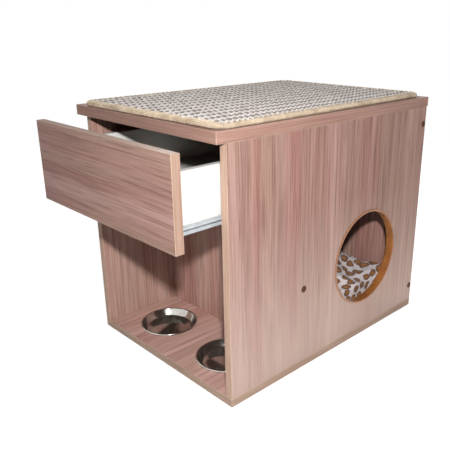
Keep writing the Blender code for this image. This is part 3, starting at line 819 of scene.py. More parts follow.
def aimed(shape: Shape, origin: Sequence[float], axis: Sequence[float]) -> Shape:
    """Turns a shape's Z to an axis and moves it to its origin.

    Args:
        shape: The shape, which is changed.
        origin: Where its own origin goes.
        axis: Where its Z points.

    Returns:
        The same shape.
    """
    turn = Vector(axis).to_track_quat("Z", "Y").to_matrix().to_4x4()
    bmesh.ops.transform(shape, matrix=Matrix.Translation(origin) @ turn, verts=shape.verts)
    return shape


def linked(name: str, data: Any) -> bpy.types.Object:
    """A new object in the scene.

    Args:
        name: The object's name.
        data: The mesh, curve, lamp or camera it shows.

    Returns:
        The object.
    """
    body = bpy.data.objects.new(name, data)
    bpy.context.scene.collection.objects.link(body)
    return body


def as_mesh(shape: Shape, name: str) -> bpy.types.Mesh:
    """A shape written to a mesh and freed.

    Args:
        shape: The shape.
        name: The mesh's name.

    Returns:
        The mesh.
    """
    mesh = bpy.data.meshes.new(name)
    shape.to_mesh(mesh)
    shape.free()
    return mesh


def joined(shapes: Iterable[Shape]) -> Shape:
    """Several shapes as one.

    Args:
        shapes: The shapes, which are freed.

    Returns:
        The whole.
    """
    whole = bmesh.new()
    for shape in shapes:
        mesh = as_mesh(shape, "part")
        whole.from_mesh(mesh)
        bpy.data.meshes.remove(mesh)
    return whole


def evaluated(body: bpy.types.Object, *others: bpy.types.Object) -> Shape:
    """A body's shape after its modifiers. The body and the others are removed.

    Args:
        body: The object with the modifiers.
        others: The objects that these use.

    Returns:
        The shape.
    """
    solid = body.evaluated_get(bpy.context.evaluated_depsgraph_get())
    result = bmesh.new()
    result.from_mesh(solid.to_mesh())
    solid.to_mesh_clear()
    for used in (body, *others):
        mesh = used.data
        bpy.data.objects.remove(used)
        bpy.data.meshes.remove(mesh)
    return result


def settled(shape: Shape, changes: Sequence[tuple[str, dict[str, Any]]],
            cutters: Sequence[Shape] = ()) -> Shape:
    """A shape after some modifiers and cuts.

    Args:
        shape: The shape to change.
        changes: Each modifier's type and its settings.
        cutters: Closed shapes to cut away after the modifiers.

    Returns:
        The changed shape.
    """
    body = linked("body", as_mesh(shape, "body"))
    tools = [linked("tool", as_mesh(joined(cutters), "tool"))] if cutters else []
    cuts = [("BOOLEAN", {"operation": "DIFFERENCE", "solver": "EXACT", "object": tool,
                         "use_self": True}) for tool in tools]
    for kind, settings in [*changes, *cuts]:
        change = body.modifiers.new(kind, kind)
        for name, value in settings.items():
            setattr(change, name, value)
    bpy.context.view_layer.update()
    result = evaluated(body, *tools)
    bmesh.ops.remove_doubles(result, verts=result.verts, dist=MERGE)
    return result


def tubes(paths: Sequence[Sequence[Vector]], radius: float, sides: int = 6,
          cyclic: bool = False) -> Shape:
    """Round strands along paths.

    Args:
        paths: The points of each strand.
        radius: The strand's radius.
        sides: The number of facets round a strand: 4, 6 or 8.
        cyclic: Whether each strand joins its own start.

    Returns:
        The strands.
    """
    curve = bpy.data.curves.new("strand", "CURVE")
    curve.dimensions = "3D"
    curve.bevel_depth = radius
    curve.bevel_resolution = sides // 2 - 2
    curve.use_fill_caps = not cyclic
    curve.twist_mode = "Z_UP"
    for path in paths:
        spline = curve.splines.new("POLY")
        spline.points.add(len(path) - 1)
        spline.points.foreach_set("co", [part for point in path for part in (*point, 1.0)])
        spline.use_cyclic_u = cyclic
    strand = linked("strand", curve)
    bpy.context.view_layer.update()
    made = bpy.data.meshes.new_from_object(
        strand.evaluated_get(bpy.context.evaluated_depsgraph_get()))
    bpy.data.objects.remove(strand)
    bpy.data.curves.remove(curve)
    shape = bmesh.new()
    shape.from_mesh(made)
    bpy.data.meshes.remove(made)
    return mended(shape)


@dataclass
class Workshop:
    """Hands finished shapes to the frame as pieces, and dresses the frame's own nodes."""

    nodes: dict[str, bpy.types.Object]

    def deliver(self, name: str, shape: Shape, finish: Material, body: str, slot: Slot,
                stands_for: Sequence[str] = (), crease: float = 35.0) -> bpy.types.Object:
        """Makes a piece.

        Args:
            name: The piece's name.
            shape: Its shape, with its place in it.
            finish: Its material.
            body: The body that it rides on.
            slot: The record's material slot; not used.
            stands_for: The nodes that it replaces.
            crease: The angle in degrees above which an edge stays sharp.

        Returns:
            The piece.
        """
        mesh = as_mesh(shape, name)
        mesh.shade_smooth()
        mesh.set_sharp_from_angle(angle=math.radians(crease))
        mesh.materials.append(finish)
        piece = linked(name, mesh)
        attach(piece, body)
        if stands_for:
            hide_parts(*stands_for)
        LOG.info("%s on %s: %d faces", name, body, len(mesh.polygons))
        return piece

    def dress(self, name: str, finish: Material) -> None:
        """Gives a node of the frame its finish.

        Args:
            name: The node's name.
            finish: Its new material.
        """
        for place in self.nodes[name].material_slots:
            place.material = finish
        LOG.info("%s dressed", name)


class Pane(Enum):
    """The shape of a lamp."""

    DISC = "ELLIPSE"
    PANEL = "RECTANGLE"


@dataclass(frozen=True)
class Lamp:
    """One plain lamp that the camera does not see."""

    name: str
    place: tuple[float, float, float]
    aim: tuple[float, float, float]
    pane: Pane
    size: Pair
    power: float
    bounces: int = 12

    def hang(self) -> None:
        """Adds the lamp to the scene."""
        light = bpy.data.lights.new(self.name, "AREA")
        light.shape = self.pane.value
        light.size, light.size_y = self.size
        light.energy = self.power
        light.cycles.max_bounces = self.bounces
        lamp = linked(self.name, light)
        lamp.location = self.place
        aim = Vector(self.aim) - Vector(self.place)
        lamp.rotation_euler = aim.to_track_quat("-Z", "Y").to_euler()
        lamp.visible_camera = False


@dataclass
class StudioSet:
    """The pale floor, the white surround, the lamps and the camera.

    The floor glows a little near the object, so that its shadow shows, and is plain white from the
    far end of the fade on. The near floor is the share of glow and its strength.
    """

    eye: tuple[float, float, float] = (0.7973, -0.7867, 0.5954)
    heading: float = -0.7928
    tilt: float = -0.3386
    sensor_width: float = 36.0
    focal_length: float = 46.64
    shift: Pair = (-0.0844, 0.0016)
    lamps: tuple[Lamp, ...] = (
        Lamp("by_camera", (0.84, -0.80, 0.77), (0.15, 0.05, 0.25), Pane.DISC, (0.05, 0.05), 14.0,
             1),
        Lamp("table_bounce", (0.38, 0.06, 0.004), (0.38, 0.06, 1.0), Pane.PANEL, (0.34, 0.9), 0.45),
        Lamp("behind", (-1.3, 1.3, 0.9), (0.0, 0.0, 0.2), Pane.PANEL, (1.2, 1.2), 29.0),
    )
    ambient: float = 0.05
    floor_reach: float = 12.0
    floor_tone: Colour = (0.86, 0.86, 0.86)
    near_floor: Pair = (0.5, 1.6)
    fade: Pair = (0.8, 2.2)

    def build(self) -> None:
        """Puts up the floor, the surround, the lamps and the camera."""
        self.make_floor()
        self.make_world()
        for lamp in self.lamps:
            lamp.hang()
        self.make_camera()

    def seen(self, tree: bpy.types.NodeTree) -> Any:
        """One for rays from the camera and for mirrored and refracted rays.

        Args:
            tree: The node tree that uses it.

        Returns:
            The output that says so.
        """
        path = tree.nodes.new("ShaderNodeLightPath")
        total = path.outputs["Is Camera Ray"]
        for other in ("Is Glossy Ray", "Is Transmission Ray"):
            step = tree.nodes.new("ShaderNodeMath")
            step.operation = "MAXIMUM"
            tree.links.new(total, step.inputs[0])
            tree.links.new(path.outputs[other], step.inputs[1])
            total = step.outputs[0]
        return total

    def make_floor(self) -> None:
        """A plain pale floor that keeps the object's shadow."""
        shape = bmesh.new()
        bmesh.ops.create_grid(shape, x_segments=1, y_segments=1, size=self.floor_reach)
        floor = linked("floor", as_mesh(shape, "floor"))
        graph = Graph("pale_floor", Base_Color=self.floor_tone, Roughness=0.9)
        reach = graph.vectors("LENGTH", graph.point, output="Value")
        near_share, near_glow = self.near_floor
        share = graph.times(self.seen(graph.tree), graph.span(reach, *self.fade, near_share, 1.0))
        strength = graph.span(reach, *self.fade, near_glow, 1.0)
        glow = graph.add("Emission", {"Color": (1, 1, 1), "Strength": strength})
        blend = graph.add("MixShader", {0: share, 1: graph.shader.outputs[0], 2: glow})
        graph.feed(graph.tree.nodes["Material Output"].inputs["Surface"], blend)
        floor.data.materials.append(graph.material)

    def make_world(self) -> None:
        """An even white surround, weaker as a light than as a background."""
        world = bpy.data.worlds.new("studio")
        world.use_nodes = True
        bpy.context.scene.world = world
        tree = world.node_tree
        stretch = tree.nodes.new("ShaderNodeMapRange")
        stretch.inputs["To Min"].default_value = self.ambient
        tree.links.new(self.seen(tree), stretch.inputs["Value"])
        sky = tree.nodes["Background"]
        sky.inputs["Color"].default_value = (1, 1, 1, 1)
        tree.links.new(stretch.outputs["Result"], sky.inputs["Strength"])

    def make_camera(self) -> None:
        """The camera at the photograph's place."""
        data = bpy.data.cameras.new("camera")
        data.sensor_width = self.sensor_width
        data.lens = self.focal_length
        data.shift_x, data.shift_y = self.shift
        camera = linked("camera", data)
        camera.location = self.eye
        level = math.cos(self.tilt)
        look = Vector((math.sin(self.heading) * level, math.cos(self.heading) * level,
                       math.sin(self.tilt)))
        camera.rotation_euler = look.to_track_quat("-Z", "Y").to_euler()
        bpy.context.scene.camera = camera


@dataclass
class Carcass:
    """The printed boards of the cabinet and of the drawer's front, kept as the frame has them."""

    shop: Workshop
    boards: tuple[Board, ...] = (
        # Painted light: gains lighten the boards in the bay and darken the outer faces.
        # The share near the floor is a painted reflection of the pale floor.
        Board("side_panel_right", Axis.Z, Axis.X, Band.BEIGE, 10.4, lift=0.9, scuffed=0.7),
        Board("side_panel_left", Axis.Z, Axis.X, Band.BEIGE, 2.3, lift=1.18, scuffed=0.2),
        Board("divider_panel", Axis.Z, Axis.Y, Band.BEIGE, 4.1, lift=1.28),
        Board("back_panel", Axis.Z, Axis.Y, Band.BEIGE, 5.7, lift=1.1),
        Board("bottom_panel", Axis.Y, Axis.Z, Band.GREY, 7.9, lift=1.54, calm=0.2),
        Board("top_panel", Axis.Y, Axis.Z, Band.PRINTED, 9.2),
        Board("drawer_front", Axis.X, Axis.Y, Band.SAND, 11.6, lift=0.89),
    )

    def build(self) -> None:
        """Dresses each board with its own run of the print."""
        for board in self.boards:
            low, high, _ = corners(board.node)
            self.shop.dress(board.node, WoodPrint(board, low, high).make())


@dataclass
class DrawerBox:
    """The white box of the drawer, kept as the frame has it."""

    shop: Workshop
    boards: tuple[str, ...] = ("drawer_side_left", "drawer_side_right", "drawer_back",
                               "drawer_bottom")

    def build(self) -> None:
        """Dresses the box's boards."""
        finish = WHITE_MELAMINE.make()
        for name in self.boards:
            self.shop.dress(name, finish)


@dataclass
class Entrance:
    """The glossy ring that lines the round entrance."""

    shop: Workshop
    steps: int = 128
    wall: float = 0.0014
    lip: float = 0.0024
    lip_thickness: float = 0.0014
    play: float = 0.0003

    def build(self) -> None:
        """Turns the ring with a rolled lip outside and an eased end inside."""
        low, high, middle = corners("entrance_ring")
        radius = (high.z - low.z) / 2
        depth = high.x - low.x
        wall_out = radius - self.lip - self.play
        bore = wall_out - self.wall
        under = -self.lip_thickness
        outline = [
            (bore + 0.0010, 0.0), (bore + 0.0026, -0.0001), (radius - 0.0007, -0.0002),
            (radius - 0.0002, -0.0005), (radius, -0.0010), (radius - 0.0001, under),
            (wall_out, under), (wall_out, -depth + 0.0004), (wall_out - 0.0004, -depth),
            (bore + 0.0005, -depth), (bore + 0.0001, -depth + 0.0005),
            (bore, -depth + 0.0012), (bore, -0.0010), (bore + 0.0003, -0.0003),
        ]
        shape = aimed(spun(outline, self.steps, closed=True), (high.x, middle.y, middle.z),
                      (1, 0, 0))
        self.shop.deliver("entrance_lining", shape, ORANGE_PLASTIC.make(), CABINET,
                          Slot.RING_PLASTIC, ["entrance_ring"])


@dataclass
class Dishes:
    """The two shallow spun dishes with rolled rims."""

    shop: Workshop
    steps: int = 96
    bead: float = 0.002
    bead_points: int = 14
    bead_start: float = 165.0
    bead_turn: float = 22.0
    sheet: float = 0.0008
    wall_run: float = 0.0075
    corner: float = 0.0032
    lead_in: float = 0.006
    pad_radius: float = 0.031
    pad_rise: float = 0.0005

    def build(self) -> None:
        """Turns each dish about its own middle."""
        for side in Side:
            node = side.node("dish")
            low, high, middle = corners(node)
            outline = self.outline((high.x - low.x) / 2, low.z, high.z)
            shape = spun(outline, self.steps)
            bmesh.ops.translate(shape, verts=shape.verts, vec=(middle.x, middle.y, 0))
            centre = Vector((middle.x, middle.y, low.z + self.sheet))
            steel = Stainless(side.node("stainless"), centre).make()
            self.shop.deliver(f"spun_{node}", shape, steel, node, Slot.STAINLESS, [node], 50.0)

    def outline(self, radius: float, below: float, top: float) -> list[Pair]:
        """The closed outline of a dish.

        Args:
            radius: The radius at the rim.
            below: The height of its underside.
            top: The height of its rim.

        Returns:
            The points from the middle of its floor, over the rim, to the middle underneath.
        """
        wall_top = radius - 2 * self.bead
        floor = below + self.sheet
        shoulder = top - 2 * self.bead
        inner_floor = wall_top - self.wall_run
        inside = [(0, floor + self.pad_rise), (self.pad_radius, floor + self.pad_rise),
                  (self.pad_radius + 0.0012, floor)]
        inside += rounded([(inner_floor - self.lead_in, floor), (inner_floor, floor),
                           (wall_top - self.sheet, shoulder)], self.corner, 6)
        rim = []
        for step in range(self.bead_points):
            angle = math.radians(self.bead_start - step * self.bead_turn)
            rim.append((radius - self.bead + self.bead * math.cos(angle),
                        top - self.bead + self.bead * math.sin(angle)))
        under = rounded([(wall_top, shoulder), (inner_floor + 0.0004, below),
                         (inner_floor - self.lead_in, below)], self.corner, 6)
        under += [(self.pad_radius + 0.001, below), (self.pad_radius, below + self.pad_rise),
                  (0, below + self.pad_rise)]
        return inside + rim + under


@dataclass(frozen=True)
class Screw:
    """One kind of screw: the outline of its head and shank, its thread and its tip.

    A turn of the thread is points of (radius, drop). The tip is a radius and its height over the
    point, and the thread ends a plain length before the point.
    """

    head: Outline
    turn: Outline
    start: float
    pitch: float
    plain: float
    tip: Pair

    def outline(self, length: float) -> list[Pair]:
        """The outline of a screw of a length, from the middle of its face to its point.

        Args:
            length: The screw's length.

        Returns:
            Points of (radius, height).
        """
        points = list(self.head)
        depth = self.start
        while depth < length - self.plain:
            points += [(radius, -depth - drop) for radius, drop in self.turn]
            depth += self.pitch
        return points + [(self.tip[0], -length + self.tip[1]), (0, -length)]


@dataclass
class Fasteners:
    """Screws, their covers, the cams and the bolts."""

    shop: Workshop
    zinc: Material
    cap: Material
    sides: int = 24
    round_sides: int = 32
    board_screw: Screw = Screw(
        ((0, 0), (0.0046, 0), (0.005, -0.0003), (0.005, -0.0013), (0.0036, -0.0039),
         (0.0035, -0.0046), (0.0035, -0.0165), (0.0027, -0.0174)),
        ((0.0027, 0), (0.0033, 0.0006), (0.0027, 0.0012)), 0.0185, 0.0026, 0.004, (0.0025, 0.002))
    slide_screw: Screw = Screw(
        ((0, 0), (0.0016, -0.0001), (0.0024, -0.0004), (0.0029, -0.0009), (0.003, -0.0014),
         (0.0014, -0.0014)),
        ((0.0010, 0), (0.0015, 0.0005)), 0.002, 0.001, 0.002, (0.0010, 0.0012))
    socket: Pair = (0.0023, 0.0026)
    recess: tuple[float, float, float] = (0.0015, 0.0004, 0.0009)
    waist: float = 0.8
    cam_cross: tuple[float, float, float] = (0.5, 0.13, 0.0022)
    arrow: tuple[float, float, float] = (0.7, 0.16, 0.0005)
    dome: Outline = ((0, -0.0006), (0.0014, -0.0005), (0.0019, -0.0001), (0.0025, 0.0),
                     (0.0042, -0.0001), (0.0052, -0.0004), (0.00595, -0.0008), (0.00625, -0.0011),
                     (0.00615, -0.0012), (0.0017, -0.0012))

    def build(self) -> None:
        """Makes each fastener on the body of what it holds."""
        for side in Side:
            out = (side.value, 0, 0)
            inward = (-side.value, 0, 0)
            for place in (side.node("divider"), side.node("back") + "_lower",
                          side.node("back") + "_upper"):
                self.cabinet_screw("screw_" + place, out)
                self.cover("cap_" + place, out)
            for end in ("front", "rear"):
                place = f"{side.name.lower()}_{end}"
                self.cabinet_screw("screw_bottom_" + place, (0, 0, -1))
                self.cam("cam_top_" + place, inward, CABINET)
                self.shop.dress("bolt_top_" + place, self.zinc)
                self.rail_screw("screw_cabinet_rail_" + place, inward, CABINET)
            self.cam(side.node("cam_drawer"), inward, DRAWER)
            self.shop.dress(side.node("bolt_drawer"), self.zinc)
            self.rail_screw(side.node("screw_drawer_rail"), (0, 0, -1), DRAWER)

    def length(self, node: str, axis: Sequence[float]) -> float:
        """A fastener's length along its axis."""
        low, high, _ = corners(node)
        return abs((high - low).dot(Vector(axis)))

    def fit(self, node: str, ending: str, shape: Shape, axis: Sequence[float], body: str) -> None:
        """Puts a fastener with its face where its node's outer face is.

        Args:
            node: The fastener's node.
            ending: How the piece was made, for its name.
            shape: Its shape about Z, with its face at nought.
            axis: The direction out of its face.
            body: The body that it rides on.
        """
        face = corners(node)[2] + Vector(axis) * self.length(node, axis) / 2
        finish, slot = self.zinc, Slot.ZINC
        if ending == "moulded":
            finish, slot = self.cap, Slot.CAP_PLASTIC
        self.shop.deliver(f"{node}_{ending}", aimed(shape, face, axis), finish, body, slot, [node])

    def cabinet_screw(self, node: str, axis: Sequence[float]) -> None:
        """A flat-headed screw with a hexagon socket and a coarse thread.

        Args:
            node: The screw's node.
            axis: The direction out of its face.
        """
        outline = self.board_screw.outline(self.length(node, axis))
        radius, depth = self.socket
        socket = rod((0, 0, OVERCUT), (0, 0, -depth), radius, 6)
        self.fit(node, "turned", settled(spun(outline, self.sides), [], [socket]), axis, CABINET)

    def rail_screw(self, node: str, axis: Sequence[float], body: str) -> None:
        """A pan-headed screw with a cross recess.

        Args:
            node: The screw's node.
            axis: The direction out of its face.
            body: The body that it rides on.
        """
        outline = self.slide_screw.outline(self.length(node, axis))
        shape = settled(spun(outline, self.sides), [], self.cross(*self.recess))
        self.fit(node, "turned", shape, axis, body)

    def cover(self, node: str, axis: Sequence[float]) -> None:
        """A domed cover with a ring pressed in it and a stub in the screw's socket.

        Args:
            node: The cover's node.
            axis: The direction out of its face.
        """
        length = self.length(node, axis)
        stub = [(0.0017, -length + 0.0003), (0.0014, -length), (0, -length)]
        self.fit(node, "moulded", spun([*self.dome, *stub], self.round_sides), axis, CABINET)

    def cam(self, node: str, axis: Sequence[float], body: str) -> None:
        """A cast cam with a cross in its face, an arrow and a waist for the bolt's head.

        Args:
            node: The cam's node.
            axis: The direction out of its face.
            body: The body that it rides on.
        """
        low, high, _ = corners(node)
        radius = (high.z - low.z) / 2
        length = self.length(node, axis)
        waist = radius * self.waist
        outline = [(0, 0), (radius - 0.0004, 0), (radius, -0.0004), (radius, -0.0024),
                   (waist, -0.0030), (waist, -length + 0.0016), (radius, -length + 0.0012),
                   (radius, -length + 0.0002), (radius - 0.0003, -length), (0, -length)]
        out, size, depth = self.arrow
        arrow = rod((radius * out, 0, OVERCUT), (radius * out, 0, -depth), radius * size, 3)
        reach, half_width, deep = self.cam_cross
        cutters = self.cross(radius * reach, radius * half_width, deep) + [arrow]
        self.fit(node, "cast", settled(spun(outline, self.round_sides), [], cutters), axis, body)

    def cross(self, reach: float, half_width: float, depth: float) -> list[Shape]:
        """The two cutters of a cross recess.

        Args:
            reach: Half the length of an arm pair.
            half_width: Half the width of an arm.
            depth: The depth of the recess.

        Returns:
            The cutters.
        """
        return [block((-x, -y, -depth), (x, y, OVERCUT))
                for x, y in ((reach, half_width), (half_width, reach))]


def axle(node: str) -> Pair:
    """The Y and Z of a roller's axle."""
    low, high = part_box(node)
    return (low[1] + high[1]) / 2, (low[2] + high[2]) / 2


@dataclass
class Slides:
    """The bent steel members of the two slides and their rollers."""

    shop: Workshop
    steel: Material
    nylon: Material
    sheet: float = 0.0012
    bend: float = 0.0016
    ease: float = 0.00025
    lip: float = 0.003
    side_gap: float = 0.0005
    seat_gap: float = 0.0003
    pin_radius: float = 0.002
    pin_sides: int = 24
    screw_hole: float = 0.0019
    hole_reach: float = 0.003
    screw_inset: float = 0.043
    slot_half: tuple[float, float, float] = (0.003, 0.006, 0.0022)
    slot_round: float = 0.0021
    slot_steps: int = 5
    slot_pitch: float = 0.064
    slot_insets: Pair = (0.075, 0.07)
    hook_height: float = 0.012
    hook_ease: float = 0.0003
    cut_back: float = 0.012
    roller_bore: float = 0.0023
    roller_steps: int = 48
    holes: int = 6
    hole_ring: float = 0.0059
    hole_radius: float = 0.0010

    def build(self) -> None:
        """Makes both slides."""
        for side in Side:
            self.cabinet_rail(side)
            self.drawer_rail(side)
            self.roller(side.node("cabinet_roller"), side)
            self.roller(side.node("drawer_roller"), side)

    def strip(self, section: Outline, start: float, end: float, cutters: Sequence[Shape]) -> Shape:
        """A sheet bent to a section and pierced.

        Args:
            section: The section's middle line of (x, z).
            start: The front end's Y.
            end: The rear end's Y.
            cutters: The shapes of the holes.

        Returns:
            The finished strip.
        """
        shape = bmesh.new()
        verts = [shape.verts.new((x, start, z)) for x, z in rounded(section, self.bend)]
        edges = [shape.edges.new(pair) for pair in zip(verts, verts[1:])]
        run = bmesh.ops.extrude_edge_only(shape, edges=edges)["geom"]
        moved = [part for part in run if isinstance(part, bmesh.types.BMVert)]
        bmesh.ops.translate(shape, verts=moved, vec=(0, end - start, 0))
        bmesh.ops.recalc_face_normals(shape, faces=shape.faces)
        wall = ("SOLIDIFY", {"thickness": self.sheet, "offset": 0.0, "use_even_offset": True})
        ease = ("BEVEL", {"width": self.ease, "segments": 2, "limit_method": "ANGLE",
                          "angle_limit": math.radians(60)})
        return settled(shape, [wall, ease], cutters)

    def slots(self, x: float, z: float, start: float, end: float) -> list[Shape]:
        """Long slots pressed through a web at an even pitch.

        Args:
            x: The web's X.
            z: The slots' Z.
            start: The first slot's Y.
            end: The Y that no slot passes.

        Returns:
            The cutters.
        """
        found = []
        half = Vector(self.slot_half)
        y = start
        while y < end:
            middle = Vector((x, y, z))
            slot = block(middle - half, middle + half)
            found.append(eased(slot, edges_along(slot, Axis.X, OVERCUT), self.slot_round,
                               self.slot_steps))
            y += self.slot_pitch
        return found

    def cabinet_rail(self, side: Side) -> None:
        """The member on the cabinet side, open inwards, with a pin for the front roller.

        Args:
            side: The side of the cabinet.
        """
        node = side.node("cabinet_rail")
        low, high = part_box(node)
        half = self.sheet / 2
        inner, outer = sorted((abs(low[0]), abs(high[0])))
        web = side.value * (outer - half)
        edge = side.value * inner
        top, bottom = high[2] - half, low[2] + half
        section = [(edge + side.value * self.sheet, top), (web, top), (web, bottom), (edge, bottom)]
        axle_y, axle_z = axle(side.node("cabinet_roller"))
        first, last = self.slot_insets
        cutters = self.slots(web, (low[2] + high[2]) / 2, low[1] + first, high[1] - last)
        for y in (low[1] + self.screw_inset, high[1] - self.screw_inset):
            cutters.append(rod((web - self.hole_reach, y, axle_z),
                               (web + self.hole_reach, y, axle_z), self.screw_hole))
        ends = sorted((edge - side.value * OVERCUT, web - side.value * self.sheet))
        cutters.append(block((ends[0], low[1] - OVERCUT, low[2] - OVERCUT),
                             (ends[1], low[1] + self.cut_back, low[2] + 2 * self.sheet)))
        strip = self.strip(section, low[1], high[1], cutters)
        pin = rod((edge + side.value * self.side_gap, axle_y, axle_z), (web, axle_y, axle_z),
                  self.pin_radius, self.pin_sides)
        self.shop.deliver(node + "_bent", joined([strip, pin]), self.steel, CABINET,
                          Slot.WHITE_STEEL, [node])

    def drawer_rail(self, side: Side) -> None:
        """The member under a drawer side: a leg, a web, a flange with a lip, a hook and a pin.

        Args:
            side: The side of the cabinet.
        """
        node = side.node("drawer_rail")
        low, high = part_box(node)
        half = self.sheet / 2
        inner, outer = sorted((abs(low[0]), abs(high[0])))
        box_outer = max(abs(corner[0]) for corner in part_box(side.node("drawer_side")))
        leg = side.value * inner
        web = side.value * (box_outer + self.seat_gap + half)
        lip = side.value * (outer - half)
        foot, flange = low[2] + half, high[2] - half
        section = [(leg, foot), (web, foot), (web, flange), (lip, flange), (lip, flange - self.lip)]
        screw_y = low[1] + self.screw_inset
        hole_x = (leg + web) / 2
        hole = rod((hole_x, screw_y, low[2] - 2 * OVERCUT),
                   (hole_x, screw_y, low[2] + self.hole_reach), self.screw_hole)
        strip = self.strip(section, low[1], high[1], [hole])
        ends = sorted((leg + side.value * self.side_gap, side.value * (box_outer - self.side_gap)))
        hook = block((ends[0], high[1] - self.sheet, foot),
                     (ends[1], high[1], foot + self.hook_height))
        eased(hook, hook.edges[:], self.hook_ease, 2)
        roller = side.node("drawer_roller")
        axle_y, axle_z = axle(roller)
        reach = side.value * (max(abs(corner[0]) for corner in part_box(roller)) - self.side_gap)
        pin = rod((web, axle_y, axle_z), (reach, axle_y, axle_z), self.pin_radius, self.pin_sides)
        self.shop.deliver(node + "_bent", joined([strip, hook, pin]), self.steel, DRAWER,
                          Slot.WHITE_STEEL, [node])

    def roller(self, node: str, side: Side) -> None:
        """A roller with a crowned rim, a dished web and six lightening holes.

        Args:
            node: The roller's node, which is also its body.
            side: The side of the cabinet.
        """
        low, high, middle = corners(node)
        radius = (high.z - low.z) / 2
        half = (high.x - low.x) / 2
        bore = self.roller_bore
        face = [(bore, half - 0.0003), (bore + 0.0003, half), (0.0040, half),
                (0.0044, half - 0.0012), (0.0074, half - 0.0012), (0.0078, half - 0.0002),
                (radius - 0.0007, half - 0.0001), (radius - 0.0002, half - 0.0005),
                (radius, half - 0.0012)]
        outline = face + [(x, -z) for x, z in reversed(face)]
        up = Vector((0, 0, half + OVERCUT))
        holes = []
        for step in range(self.holes):
            angle = math.tau * step / self.holes
            spot = Vector((self.hole_ring * math.cos(angle), self.hole_ring * math.sin(angle), 0))
            holes.append(rod(spot - up, spot + up, self.hole_radius, 12))
        shape = settled(spun(outline, self.roller_steps, closed=True), [], holes)
        self.shop.deliver(node + "_moulded", aimed(shape, middle, (side.value, 0, 0)), self.nylon,
                          node, Slot.NYLON, [node])


@dataclass(frozen=True)
class Cord:
    """One kind of two-strand cord in the mat.

    The shift moves the first row, in rows, the swing is how far a strand's middle goes sideways
    and up as it winds, and the height is that of the cord's middle over the top.
    """

    shift: float
    swing: Pair
    height: float
    radius: float = 0.0030


